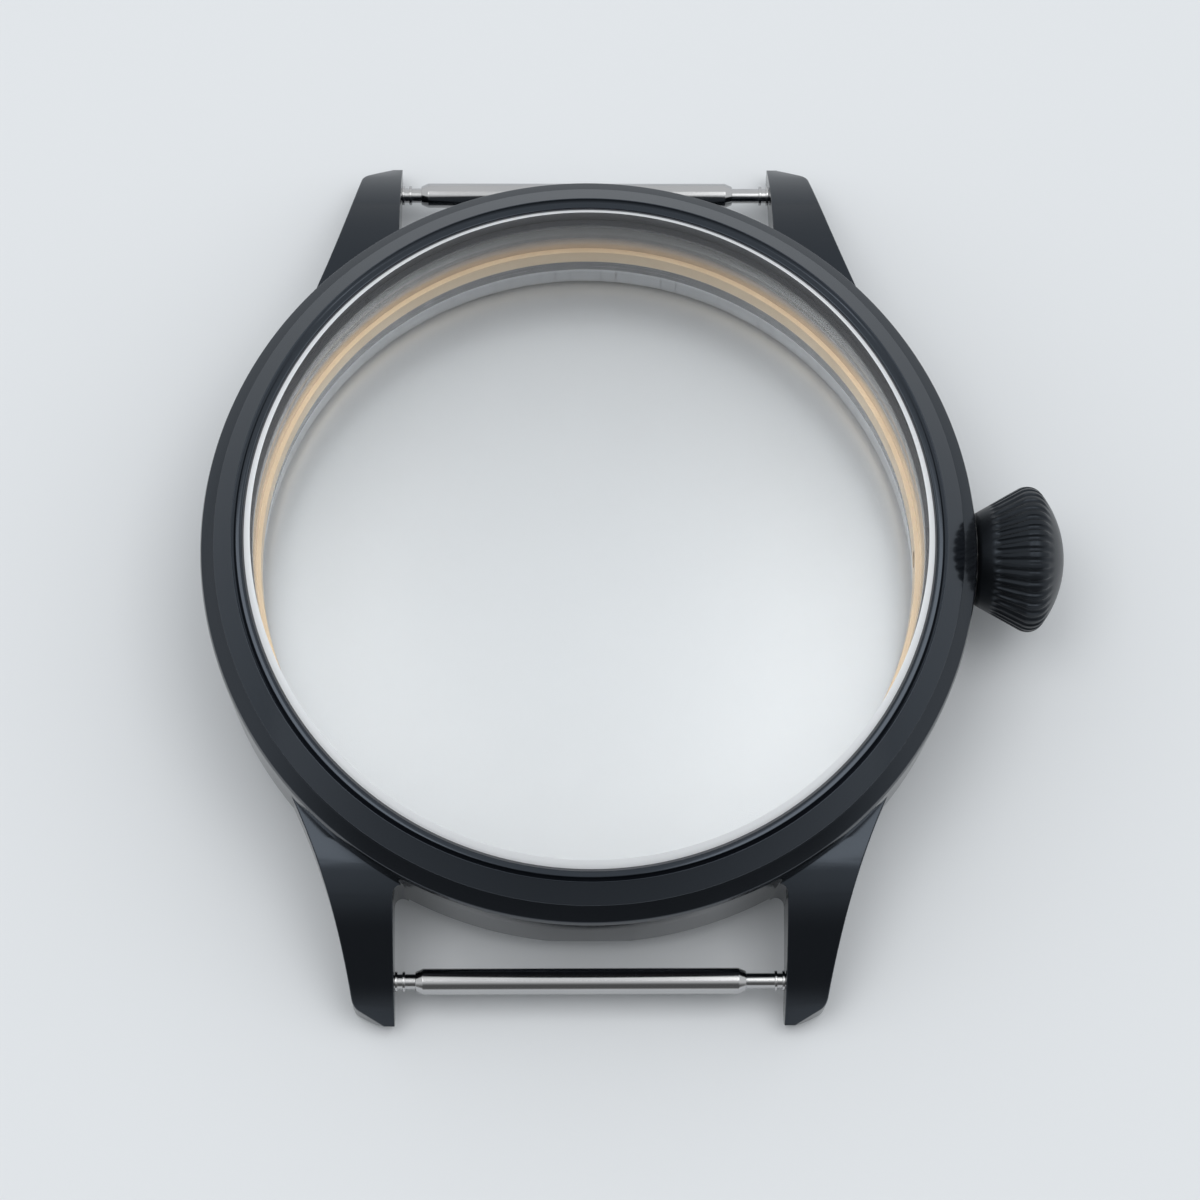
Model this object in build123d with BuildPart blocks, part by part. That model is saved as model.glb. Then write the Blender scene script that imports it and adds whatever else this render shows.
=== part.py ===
"""Empty watch case for a hand-wound movement: middle with lugs, bezel, glasses, back, crown and spring bars.

Millimetres. The origin is on the case axis, in the plane of the movement ring's ledge.
+Z runs out of the front glass, +X to the crown, +Y to twelve o'clock.
"""
from build123d import *
import os
from math import asin, cos, hypot, pi, radians, sin

os.makedirs("parts", exist_ok=True)

# Driving sizes of the case
case_dia = 43.84            # over the rim of the middle
lug_width = 22.00           # between the lugs, the strap's width
lug_reach = 4.30            # from the wall out to the lug tips
front_height = 4.85         # from the ledge up to the edge of the front glass
back_depth = 6.55           # from the ledge down to the face that rests on a table
cut_overrun = 1.00          # how far a cutting tool runs past a face
running_gap = 0.05          # radial room between parts that turn or slide
face_gap = 0.05             # room between flat faces of parts that move apart

# Front glass and its gasket
crystal_thick = 2.00
crystal_rise = 0.57         # how far its top stands above its edge
crystal_bevel = 0.38        # width of the polished bevel, seen from above
crystal_seat_width = 0.37   # how far the glass reaches over the bezel's shelf
crystal_gasket_thick = 0.12
crystal_gasket_floor = 0.20
crystal_gasket_recess = 0.08

# Bezel
bezel_inset = 0.84          # from the rim of the middle in to the bezel's edge
bezel_width = 1.66          # from that edge in to the gasket of the glass
bezel_lip_rise = 0.03       # lip above the edge of the glass
bezel_lip_width = 0.34
bezel_groove_width = 0.09
bezel_groove_depth = 0.10
bezel_step_drop = 0.04      # the shallow band beside the groove, under the lip
bezel_step_width = 0.23
bezel_edge_drop = 0.95      # outer edge under the edge of the glass
bezel_edge_height = 0.16
bezel_edge_break = 0.06
bezel_skirt_thick = 0.77
bezel_skirt_depth = 2.85    # end of the skirt under the edge of the glass

# Bezel gasket
bezel_gasket_thick = 0.25
bezel_gasket_recess = 0.10

# Middle
rim_overhang = 0.12         # how far the rim stands out over the wall
middle_top_break = 0.10
shoulder_width = 0.20       # from the rim's face in to the lower end of the shoulder
shoulder_height = 0.49
rim_height = 0.98           # upright face of the rim
rim_under_height = 0.70     # slope under the rim
rim_face_drop = 2.66        # top of the upright face under the edge of the glass
middle_bottom_drop = 8.30   # bottom of the wall under the edge of the glass
middle_bottom_break = 0.25
middle_ledge_width = 0.87   # step over the movement ring's pocket
middle_thread_step = 0.50   # from that pocket out to the back's thread

# Movement ring
ring_ledge_width = 0.28     # how far the ring shows inside the middle
ring_height = 1.45
ring_fit_gap = 0.05
stem_hole_dia = 1.00

# Back and its window
back_thread_gap = 0.08
back_flange_inset = 0.85    # from the wall in to the back's flange
back_flange_height = 1.10
back_foot_inset = 0.50
back_foot_width = 0.90      # flat ring that rests on the table
back_ring_gap = 0.10        # between the movement ring and the back's neck
back_lip_height = 1.60      # lip over the window
back_lip_gap = 0.20         # its bore is this much wider than the movement ring's, on the radius
back_inner_break = 0.35
back_inner_slope = 0.25
wrench_notch_count = 6
wrench_notch_width = 2.20
wrench_notch_depth = 1.20
wrench_notch_length = 0.85
window_thick = 2.20
window_gasket_thick = 0.25
window_gasket_floor = 0.15
seal_inset = 0.19           # from the back's thread out to its gasket
seal_width = 0.36           # gasket between the back and the middle
seal_height = 0.40
seal_groove_gap = 0.04

# Lugs, as seen from the side: distances along the strap from the wall, and heights from the ledge
lug_root_in = 5.20
lug_root_z = 0.40
lug_bend_out = 0.50         # where the tangents of the top curve cross
lug_bend_z = -0.10
lug_tip_z = -5.20
lug_nose_drop = 0.75        # upright front of the tip
lug_nose_back = 0.20
lug_foot_back = 0.90        # lowest point of the lug, behind the tip
lug_foot_z = -6.25
lug_belly_out = 1.10
lug_belly_z = -4.10
# Lugs, as seen from above: thicknesses from the inner face, and distances back from the tip
lug_tip_thick = 0.60
lug_slant_thick = 1.95
lug_slant_drop = 0.70
lug_corner_thick = 2.38
lug_corner_drop = 1.25
lug_mid_thick = 3.30
lug_mid_in = 1.20           # this point lies inside the wall's outer line
lug_end_angle = 36.0        # where the lug's flank runs out on the wall, from the crown's axis
lug_end_inset = 0.30        # more than the break on the wall's lower edge
lug_back_gap = 0.20         # between the lugs' undersides and the back
lug_core_inset = 0.70       # how far the lugs are rooted in the wall
gap_wall_inset = 0.06       # the wall between the lugs is cut back a little
gap_flat_inset = 0.18       # flat on that wall
gap_corner_round = 0.45
gap_top_z = 0.42

# Spring bars
bar_back = 2.28             # behind the lug tips
bar_z = -3.76
bar_tube_dia = 1.46
bar_tube_bore = 1.20
bar_left_room = 1.20        # from the left lug to the tube
bar_right_room = 2.23       # from the right lug to the tube
bar_crimp_length = 0.42     # tapered end that keeps the pin in
bar_crimp_face_dia = 1.10
pin_tip_dia = 0.80
pin_tip_length = 0.85
pin_tip_break = 0.10
pin_neck_dia = 0.86
pin_flange_dia = 1.14
pin_flange_thick = 0.15
pin_flange_gap = 0.28       # between the two flanges
pin_head_dia = 1.10
pin_head_length = 0.80
pin_head_gap = 0.30         # between the head and the crimp while the bar is in the case
lug_hole_depth = 1.20
spring_wire_dia = 0.20
spring_turns = 20
spring_end_gap = 0.04

# Crown, measured along its axis from its own inner face
crown_z = -0.60
crown_case_gap = 0.13       # between the rim and the crown
crown_base_dia = 5.16
crown_base_round = 0.12
crown_cone_length = 2.65    # to the end of the cone
crown_cone_dia = 8.14
crown_crest_length = 3.20
crown_crest_dia = 8.34      # the widest place
crown_brow_dia = 7.44       # where the domed end begins
crown_length = 5.16
crown_dome_radius = 6.20
crown_cavity_dia = 3.70
crown_cavity_depth = 2.85
flute_count = 40
flute_radius = 0.21
flute_lift = 0.09           # the cutter's centre above the crown's surface
flute_start_in = 0.80
flute_end_in = 4.20
flute_end_dia = 6.86

# Crown tube, post, O-ring and washer
tube_dia = 2.60
tube_bore_dia = 1.70
tube_out = 2.40             # outer end inside the crown
tube_in_gap = 0.05          # inner end short of the back's thread
tube_hole_inset = 0.30      # how far the tube's hole runs in past the thread
post_dia = 1.44
post_in = 0.75              # inner end, towards the movement
post_out = 3.85
post_collar_dia = 2.40
post_collar_thick = 0.30
stem_thread_dia = 0.90
stem_thread_depth = 2.50
oring_wire_dia = 0.48
oring_gap = 0.02
oring_out = 0.71
washer_out = 0.15
washer_thick = 0.25
washer_bore_dia = 2.72

# Radii that follow from these, from the rim inwards
rim_r = case_dia / 2
wall_r = rim_r - rim_overhang
bezel_r = rim_r - bezel_inset
bezel_bore_r = bezel_r - bezel_width
crystal_r = bezel_bore_r - crystal_gasket_thick
opening_r = crystal_r - crystal_seat_width
skirt_r = opening_r + bezel_skirt_thick
recess_r = skirt_r + bezel_gasket_thick
ring_pocket_r = opening_r + middle_ledge_width
ring_r = ring_pocket_r - ring_fit_gap
movement_r = opening_r - ring_ledge_width
middle_thread_r = ring_pocket_r + middle_thread_step
back_thread_r = middle_thread_r - back_thread_gap
back_flange_r = wall_r - back_flange_inset
foot_r = back_flange_r - back_foot_inset
foot_in_r = foot_r - back_foot_width
window_pocket_r = foot_in_r - back_inner_slope
window_r = window_pocket_r - window_gasket_thick
lip_r = movement_r + back_lip_gap
seal_inner_r = back_thread_r + seal_inset
seal_outer_r = seal_inner_r + seal_width

# Heights, from the front down
crystal_top = front_height + crystal_rise
crystal_bottom = crystal_top - crystal_thick
shelf_z = crystal_bottom - crystal_gasket_floor
bezel_under_z = front_height - bezel_edge_drop - bezel_edge_height
skirt_end_z = front_height - bezel_skirt_depth
rim_face_z = front_height - rim_face_drop
rim_low_z = rim_face_z - rim_height
rim_under_z = rim_low_z - rim_under_height
middle_bottom_z = front_height - middle_bottom_drop
neck_top_z = -ring_height - back_ring_gap
back_flange_z = middle_bottom_z - face_gap
lip_low_z = neck_top_z - back_lip_height
window_top_z = lip_low_z - window_gasket_floor
window_low_z = window_top_z - window_thick
seal_top_z = middle_bottom_z - face_gap / 2
seal_low_z = seal_top_z - seal_height

# Places of the lugs and the spring bars
half_gap = lug_width / 2
tip_y = wall_r + lug_reach
lug_root_y = wall_r - lug_root_in
lug_bend_y = wall_r + lug_bend_out
lug_foot_y = tip_y - lug_foot_back
lug_belly_y = wall_r + lug_belly_out
lug_slant_x = half_gap + lug_slant_thick
lug_corner_x = half_gap + lug_corner_thick
lug_mid_x = half_gap + lug_mid_thick
lug_mid_y = wall_r - lug_mid_in
lug_end_x = (wall_r - lug_end_inset) * cos(radians(lug_end_angle))
lug_end_y = (wall_r - lug_end_inset) * sin(radians(lug_end_angle))
lug_core_r = wall_r - lug_core_inset
gap_wall_r = wall_r - gap_wall_inset
gap_flat_y = wall_r - gap_flat_inset
bar_y = tip_y - bar_back
bar_tube_left_x = bar_left_room - half_gap
bar_tube_right_x = half_gap - bar_right_room
pin_hole_r = pin_tip_dia / 2 + running_gap

# Places along the crown's axis
crown_base_x = rim_r + crown_case_gap
crown_cone_x = crown_base_x + crown_cone_length
crown_crest_x = crown_base_x + crown_crest_length
crown_end_x = crown_base_x + crown_length
crown_cavity_x = crown_base_x + crown_cavity_depth
flute_start_x = crown_base_x + flute_start_in
flute_end_x = crown_base_x + flute_end_in
dome_centre_x = crown_end_x - crown_dome_radius
brow_angle = asin(crown_brow_dia / 2 / crown_dome_radius)
crown_brow_x = dome_centre_x + crown_dome_radius * cos(brow_angle)
dome_mid_x = dome_centre_x + crown_dome_radius * cos(brow_angle / 2)
dome_mid_r = crown_dome_radius * sin(brow_angle / 2)
tube_in_x = middle_thread_r + tube_in_gap
tube_hole_x = middle_thread_r - tube_hole_inset
tube_end_x = crown_base_x + tube_out
post_start_x = crown_base_x - post_in
post_end_x = crown_base_x + post_out

# Sketch planes
crown_plane = Plane(origin=(0, 0, crown_z), x_dir=(1, 0, 0), z_dir=(0, -1, 0))
crown_axis = Axis((0, 0, crown_z), (1, 0, 0))


def across(x):
    """A plane square to the crown's axis, centred on it, at the distance x from the case axis."""
    return Plane(origin=(x, 0, crown_z), x_dir=(0, 1, 0), z_dir=(1, 0, 0))


# Lugs: the side view and the view from above, crossed, with the strap's gap cut out later
with BuildPart() as lug_pair:
    with BuildSketch(Plane.YZ):
        with BuildLine():
            Bezier((lug_root_y, lug_root_z), (lug_bend_y, lug_bend_z), (tip_y, lug_tip_z))
            Line((tip_y, lug_tip_z), (tip_y - lug_nose_back, lug_tip_z - lug_nose_drop))
            ThreePointArc(
                (tip_y - lug_nose_back, lug_tip_z - lug_nose_drop),
                ((tip_y + lug_foot_y) / 2, (lug_tip_z - lug_nose_drop) / 4 + lug_foot_z * 3 / 4),
                (lug_foot_y, lug_foot_z),
            )
            Bezier((lug_foot_y, lug_foot_z), (lug_belly_y, lug_belly_z), (lug_root_y, middle_bottom_z))
            Line((lug_root_y, middle_bottom_z), (lug_end_y - cut_overrun, middle_bottom_z))
            Line((lug_end_y - cut_overrun, middle_bottom_z), (lug_end_y - cut_overrun, lug_root_z))
            Line((lug_end_y - cut_overrun, lug_root_z), (lug_root_y, lug_root_z))
        make_face()
    extrude(amount=wall_r, both=True)
    with BuildSketch(Plane.XY.offset(lug_foot_z - cut_overrun)):
        with BuildLine():
            Line((0, tip_y), (half_gap + lug_tip_thick, tip_y))
            Line((half_gap + lug_tip_thick, tip_y), (lug_slant_x, tip_y - lug_slant_drop))
            Spline(
                (lug_slant_x, tip_y - lug_slant_drop),
                (lug_corner_x, tip_y - lug_corner_drop),
                tangents=[
                    (lug_slant_thick - lug_tip_thick, -lug_slant_drop),
                    (lug_mid_x - lug_corner_x, lug_mid_y - tip_y + lug_corner_drop),
                ],
            )
            ThreePointArc(
                (lug_corner_x, tip_y - lug_corner_drop),
                (lug_mid_x, lug_mid_y),
                (lug_end_x, lug_end_y),
            )
            Line((lug_end_x, lug_end_y), (lug_end_x, lug_end_y - cut_overrun))
            Line((lug_end_x, lug_end_y - cut_overrun), (0, lug_end_y - cut_overrun))
            Line((0, lug_end_y - cut_overrun), (0, tip_y))
        make_face()
        mirror(about=Plane.YZ)
    extrude(amount=front_height + back_depth, mode=Mode.INTERSECT)
    with BuildSketch(Plane.XY.offset(middle_bottom_z)):
        Circle(lug_core_r)
    extrude(amount=front_height, mode=Mode.SUBTRACT)
    with BuildSketch(Plane.XY.offset(middle_bottom_z)):
        Circle(back_flange_r + lug_back_gap)
    extrude(amount=-back_depth, mode=Mode.SUBTRACT)

# Middle: the turned ring, the lugs, the strap gaps, the holes for the tube and the bars
with BuildPart() as mid_case:
    with BuildSketch(Plane.XZ):
        with BuildLine():
            Polyline(
                (recess_r, bezel_under_z),
                (bezel_r - middle_top_break / 2, bezel_under_z),
                (bezel_r + middle_top_break / 2, bezel_under_z - middle_top_break),
                (rim_r - shoulder_width, rim_face_z + shoulder_height),
                (rim_r, rim_face_z),
                (rim_r, rim_low_z),
                (wall_r, rim_under_z),
                (wall_r, middle_bottom_z + middle_bottom_break),
                (wall_r - middle_bottom_break, middle_bottom_z),
                (middle_thread_r, middle_bottom_z),
                (middle_thread_r, neck_top_z),
                (ring_pocket_r, neck_top_z),
                (ring_pocket_r, 0),
                (opening_r, 0),
                (opening_r, skirt_end_z),
                (recess_r, skirt_end_z),
                close=True,
            )
        make_face()
    revolve(axis=Axis.Z)
    add(lug_pair.part)
    mirror(lug_pair.part, about=Plane.XZ)
    with BuildSketch(Plane.XY.offset(gap_top_z)) as strap_gap:
        Rectangle(lug_width, 2 * (tip_y + cut_overrun))
        with BuildSketch(Plane.XY.offset(gap_top_z), mode=Mode.PRIVATE) as kept_wall:
            Circle(gap_wall_r)
            Rectangle(2 * gap_wall_r, 2 * gap_flat_y, mode=Mode.INTERSECT)
        add(kept_wall.sketch, mode=Mode.SUBTRACT)
        fillet(
            strap_gap.vertices().filter_by(lambda v: abs(v.Y) < wall_r and abs(v.X) > half_gap - gap_wall_inset),
            radius=gap_corner_round,
        )
    extrude(amount=lug_foot_z - gap_top_z - cut_overrun, mode=Mode.SUBTRACT)
    with BuildSketch(across(tube_hole_x)):
        Circle(tube_dia / 2)
    extrude(amount=rim_r - tube_hole_x + cut_overrun, mode=Mode.SUBTRACT)
    with BuildSketch(across(ring_pocket_r - cut_overrun)):
        Circle(stem_hole_dia / 2)
    extrude(amount=tube_in_x - ring_pocket_r + cut_overrun, mode=Mode.SUBTRACT)
    for bar_side in (1, -1):
        with BuildSketch(Plane.YZ.offset(-half_gap - lug_hole_depth)):
            with Locations((bar_side * bar_y, bar_z)):
                Circle(pin_hole_r)
        extrude(amount=lug_width + 2 * lug_hole_depth, mode=Mode.SUBTRACT)
mid_case.part.label = "mid_case"

# Bezel: lip, groove, shallow band and long slope, on a skirt that presses into the middle
with BuildPart() as bezel:
    lip_z = front_height + bezel_lip_rise
    lip_end_r = bezel_bore_r + bezel_lip_width
    step_r = lip_end_r + bezel_groove_width
    step_z = lip_z - bezel_step_drop
    with BuildSketch(Plane.XZ):
        with BuildLine():
            Polyline(
                (bezel_bore_r, lip_z),
                (lip_end_r, lip_z),
                (lip_end_r, lip_z - bezel_groove_depth),
                (step_r, lip_z - bezel_groove_depth),
                (step_r, step_z),
                (step_r + bezel_step_width, step_z),
                (bezel_r, front_height - bezel_edge_drop),
                (bezel_r, bezel_under_z + bezel_edge_break),
                (bezel_r - bezel_edge_break, bezel_under_z),
                (skirt_r, bezel_under_z),
                (skirt_r, skirt_end_z),
                (opening_r, skirt_end_z),
                (opening_r, shelf_z),
                (bezel_bore_r, shelf_z),
                close=True,
            )
        make_face()
    revolve(axis=Axis.Z)
bezel.part.label = "bezel"

with BuildPart() as bezel_gasket:
    with BuildSketch(Plane.XY.offset(skirt_end_z)):
        Circle(recess_r)
        Circle(skirt_r, mode=Mode.SUBTRACT)
    extrude(amount=bezel_under_z - skirt_end_z - bezel_gasket_recess)
bezel_gasket.part.label = "bezel_gasket"

# Front glass, with its polished bevel
with BuildPart() as crystal:
    with BuildSketch(Plane.XZ):
        with BuildLine():
            Polyline(
                (0, crystal_bottom),
                (crystal_r, crystal_bottom),
                (crystal_r, front_height),
                (crystal_r - crystal_bevel, crystal_top),
                (0, crystal_top),
                close=True,
            )
        make_face()
    revolve(axis=Axis.Z)
crystal.part.label = "crystal"

with BuildPart() as crystal_gasket:
    with BuildSketch(Plane.XZ):
        with BuildLine():
            Polyline(
                (opening_r, shelf_z),
                (bezel_bore_r, shelf_z),
                (bezel_bore_r, front_height - crystal_gasket_recess),
                (crystal_r, front_height - crystal_gasket_recess),
                (crystal_r, crystal_bottom),
                (opening_r, crystal_bottom),
                close=True,
            )
        make_face()
    revolve(axis=Axis.Z)
crystal_gasket.part.label = "crystal_gasket"

# Movement ring, with a hole for the winding stem
with BuildPart() as movement_ring:
    with BuildSketch(Plane.XY.offset(-ring_height)):
        Circle(ring_r)
        Circle(movement_r, mode=Mode.SUBTRACT)
    extrude(amount=ring_height)
    with BuildSketch(across(0)):
        Circle(stem_hole_dia / 2)
    extrude(amount=ring_r + cut_overrun, mode=Mode.SUBTRACT)
movement_ring.part.label = "movement_ring"

# Back: threaded neck, flange, foot, window pocket and wrench notches
with BuildPart() as case_back:
    with BuildSketch(Plane.XZ):
        with BuildLine():
            Polyline(
                (lip_r, neck_top_z),
                (back_thread_r, neck_top_z),
                (back_thread_r, back_flange_z),
                (seal_inner_r - seal_groove_gap, back_flange_z),
                (seal_inner_r - seal_groove_gap, seal_low_z - face_gap / 2),
                (seal_outer_r + seal_groove_gap, seal_low_z - face_gap / 2),
                (seal_outer_r + seal_groove_gap, back_flange_z),
                (back_flange_r, back_flange_z),
                (back_flange_r, back_flange_z - back_flange_height),
                (foot_r, -back_depth),
                (foot_in_r, -back_depth),
                (window_pocket_r, -back_depth + back_inner_break),
                (window_pocket_r, lip_low_z),
                (lip_r, lip_low_z),
                close=True,
            )
        make_face()
    revolve(axis=Axis.Z)
    with BuildSketch(Plane.XY.offset(-back_depth)):
        with PolarLocations(foot_r + wrench_notch_length / 2, wrench_notch_count):
            Rectangle(2 * wrench_notch_length, wrench_notch_width)
    extrude(amount=wrench_notch_depth, mode=Mode.SUBTRACT)
case_back.part.label = "case_back"

with BuildPart() as back_window:
    with BuildSketch(Plane.XY.offset(window_low_z)):
        Circle(window_r)
    extrude(amount=window_thick)
back_window.part.label = "back_window"

with BuildPart() as back_window_gasket:
    with BuildSketch(Plane.XZ):
        with BuildLine():
            Polyline(
                (lip_r, lip_low_z),
                (window_pocket_r, lip_low_z),
                (window_pocket_r, window_low_z),
                (window_r, window_low_z),
                (window_r, window_top_z),
                (lip_r, window_top_z),
                close=True,
            )
        make_face()
    revolve(axis=Axis.Z)
back_window_gasket.part.label = "back_window_gasket"

with BuildPart() as case_back_gasket:
    with BuildSketch(Plane.XY.offset(seal_low_z)):
        Circle(seal_outer_r)
        Circle(seal_inner_r, mode=Mode.SUBTRACT)
    extrude(amount=seal_height)
case_back_gasket.part.label = "case_back_gasket"

# Crown: the turned onion shape and one flute cutter, repeated round it
with BuildPart() as flute_cutter:
    with BuildLine() as flute_path:
        cone_rise = (crown_cone_dia - crown_base_dia) / 2 / (crown_cone_x - crown_base_x)
        flute_start_r = crown_base_dia / 2 + cone_rise * (flute_start_x - crown_base_x) + flute_lift
        flute_start = (flute_start_x, 0, crown_z + flute_start_r)
        flute_turn = (crown_cone_x, 0, crown_z + crown_cone_dia / 2 + flute_lift)
        flute_end = (flute_end_x, 0, crown_z + flute_end_dia / 2 + flute_lift)
        straight = Line(flute_start, flute_turn)
        TangentArc(flute_turn, flute_end, tangent=straight % 1)
    with BuildSketch(Plane(origin=flute_path.line @ 0, z_dir=flute_path.line % 0)):
        Circle(flute_radius)
    sweep()
with BuildPart() as crown:
    with BuildSketch(crown_plane):
        with BuildLine():
            Line((crown_base_x, 0), (crown_base_x, crown_base_dia / 2 - crown_base_round))
            Line(
                (crown_base_x, crown_base_dia / 2 - crown_base_round),
                (crown_base_x + crown_base_round, crown_base_dia / 2 + crown_base_round * cone_rise),
            )
            cone_side = Line(
                (crown_base_x + crown_base_round, crown_base_dia / 2 + crown_base_round * cone_rise),
                (crown_cone_x, crown_cone_dia / 2),
            )
            ThreePointArc(
                (crown_cone_x, crown_cone_dia / 2),
                (crown_crest_x, crown_crest_dia / 2),
                (crown_brow_x, crown_brow_dia / 2),
            )
            ThreePointArc(
                (crown_brow_x, crown_brow_dia / 2),
                (dome_mid_x, dome_mid_r),
                (crown_end_x, 0),
            )
            Line((crown_end_x, 0), (crown_base_x, 0))
        make_face()
    revolve(axis=crown_axis)
    with BuildSketch(across(crown_base_x - cut_overrun)):
        Circle(crown_cavity_dia / 2)
    extrude(amount=crown_cavity_x - crown_base_x + cut_overrun, mode=Mode.SUBTRACT)
    with BuildSketch(across(crown_cavity_x)):
        Circle(post_dia / 2)
    extrude(amount=post_end_x - crown_cavity_x, mode=Mode.SUBTRACT)
    for flute in range(flute_count):
        add(flute_cutter.part.rotate(crown_axis, 360 * flute / flute_count), mode=Mode.SUBTRACT)
crown.part.label = "crown"

with BuildPart() as crown_post:
    with BuildSketch(across(post_start_x)):
        Circle(post_dia / 2)
    extrude(amount=post_end_x - post_start_x)
    with BuildSketch(across(crown_cavity_x - post_collar_thick)):
        Circle(post_collar_dia / 2)
    extrude(amount=post_collar_thick)
    with BuildSketch(across(post_start_x)):
        Circle(stem_thread_dia / 2)
    extrude(amount=stem_thread_depth, mode=Mode.SUBTRACT)
crown_post.part.label = "crown_post"

with BuildPart() as crown_tube:
    with BuildSketch(across(tube_in_x)):
        Circle(tube_dia / 2)
        Circle(tube_bore_dia / 2, mode=Mode.SUBTRACT)
    extrude(amount=tube_end_x - tube_in_x)
crown_tube.part.label = "crown_tube"

with BuildPart() as crown_gasket:
    with BuildSketch(crown_plane):
        with Locations((crown_base_x + oring_out, tube_dia / 2 + oring_gap + oring_wire_dia / 2)):
            Circle(oring_wire_dia / 2)
    revolve(axis=crown_axis)
crown_gasket.part.label = "crown_gasket"

with BuildPart() as crown_washer:
    with BuildSketch(across(crown_base_x + washer_out)):
        Circle(crown_cavity_dia / 2)
        Circle(washer_bore_dia / 2, mode=Mode.SUBTRACT)
    extrude(amount=washer_thick)
crown_washer.part.label = "crown_washer"

round_parts = [
    mid_case, bezel, bezel_gasket, crystal, crystal_gasket, movement_ring, case_back, back_window,
    back_window_gasket, case_back_gasket, crown, crown_post, crown_tube, crown_gasket, crown_washer,
]
for piece in round_parts:
    export_step(piece.part, f"parts/{piece.part.label}.step")


def pin_profile(lug_face_x, tube_end_x_here, outward):
    """Half outline of a spring bar's end pin, from its head in the tube to its tip in the lug."""
    tip_r = pin_tip_dia / 2
    neck_r = pin_neck_dia / 2
    flange_r = pin_flange_dia / 2
    head_r = pin_head_dia / 2
    shoulder_x = lug_face_x - outward * running_gap
    outer_flange_x = shoulder_x - outward * pin_flange_thick
    inner_face_x = outer_flange_x - outward * pin_flange_gap
    inner_flange_x = inner_face_x - outward * pin_flange_thick
    head_out_x = tube_end_x_here - outward * (bar_crimp_length + pin_head_gap)
    head_in_x = head_out_x - outward * pin_head_length
    tip_x = lug_face_x + outward * pin_tip_length
    return [
        (head_in_x, 0), (head_in_x, head_r), (head_out_x, head_r), (head_out_x, neck_r),
        (inner_flange_x, neck_r), (inner_flange_x, flange_r), (inner_face_x, flange_r),
        (inner_face_x, neck_r), (outer_flange_x, neck_r), (outer_flange_x, flange_r),
        (shoulder_x, flange_r), (shoulder_x, tip_r), (tip_x - outward * pin_tip_break, tip_r),
        (tip_x, tip_r - pin_tip_break), (tip_x, 0),
    ]


# Spring bars: a tube, two sprung pins and the coil spring between them
spring_left_x = bar_tube_left_x + bar_crimp_length + pin_head_gap + pin_head_length + spring_end_gap
spring_right_x = bar_tube_right_x - bar_crimp_length - pin_head_gap - pin_head_length - spring_end_gap
spring_r = bar_tube_bore / 2 - spring_wire_dia / 2 - running_gap
spring_span = spring_right_x - spring_left_x - spring_wire_dia
spring_pitch = spring_span / spring_turns
for bar_name, bar_side in (("upper_bar", 1), ("lower_bar", -1)):
    bar_plane = Plane(origin=(0, bar_side * bar_y, bar_z), x_dir=(1, 0, 0), z_dir=(0, -1, 0))
    bar_axis = Axis((0, bar_side * bar_y, bar_z), (1, 0, 0))
    with BuildPart() as bar_tube:
        with BuildSketch(bar_plane):
            with BuildLine():
                Polyline(
                    (bar_tube_left_x, pin_neck_dia / 2 + running_gap),
                    (bar_tube_left_x, bar_crimp_face_dia / 2),
                    (bar_tube_left_x + bar_crimp_length, bar_tube_dia / 2),
                    (bar_tube_right_x - bar_crimp_length, bar_tube_dia / 2),
                    (bar_tube_right_x, bar_crimp_face_dia / 2),
                    (bar_tube_right_x, pin_neck_dia / 2 + running_gap),
                    (bar_tube_right_x - bar_crimp_length, pin_neck_dia / 2 + running_gap),
                    (bar_tube_right_x - bar_crimp_length, bar_tube_bore / 2),
                    (bar_tube_left_x + bar_crimp_length, bar_tube_bore / 2),
                    (bar_tube_left_x + bar_crimp_length, pin_neck_dia / 2 + running_gap),
                    close=True,
                )
            make_face()
        revolve(axis=bar_axis)
    bar_tube.part.label = bar_name + "_tube"
    export_step(bar_tube.part, f"parts/{bar_tube.part.label}.step")
    for end_name, lug_face_x, tube_face_x, outward in (
        ("_left_pin", -half_gap, bar_tube_left_x, -1),
        ("_right_pin", half_gap, bar_tube_right_x, 1),
    ):
        with BuildPart() as bar_pin:
            with BuildSketch(bar_plane):
                with BuildLine():
                    Polyline(*pin_profile(lug_face_x, tube_face_x, outward), close=True)
                make_face()
            revolve(axis=bar_axis)
        bar_pin.part.label = bar_name + end_name
        export_step(bar_pin.part, f"parts/{bar_pin.part.label}.step")
    with BuildPart() as bar_spring:
        with BuildLine() as coil:
            Helix(
                pitch=spring_pitch,
                height=spring_span,
                radius=spring_r,
                center=(spring_left_x + spring_wire_dia / 2, bar_side * bar_y, bar_z),
                direction=(1, 0, 0),
            )
        with BuildSketch(Plane(origin=coil.line @ 0, z_dir=coil.line % 0)):
            Circle(spring_wire_dia / 2)
        sweep(is_frenet=True)
    bar_spring.part.label = bar_name + "_spring"
    export_step(bar_spring.part, f"parts/{bar_spring.part.label}.step")

coil_length = spring_turns * hypot(2 * pi * spring_r, spring_pitch)
wire_area = pi * (spring_wire_dia / 2) ** 2
print("spring: volume", bar_spring.part.volume, "against", coil_length * wire_area)
print("spring: gap between turns", spring_pitch - spring_wire_dia)
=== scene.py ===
"""Looks of an empty black watch case with a gilt seat ring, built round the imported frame.

Metres. The origin is on the case axis, in the plane of the seat ring's ledge. +Z runs out of the front glass,
+X to the crown and +Y to twelve o'clock.
"""
import logging
from dataclasses import dataclass
from enum import Enum
from math import asin, atan2, cos, pi, radians, sin, sqrt, tan

import bmesh
import bpy
from mathutils import Matrix, Quaternion, Vector


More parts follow.
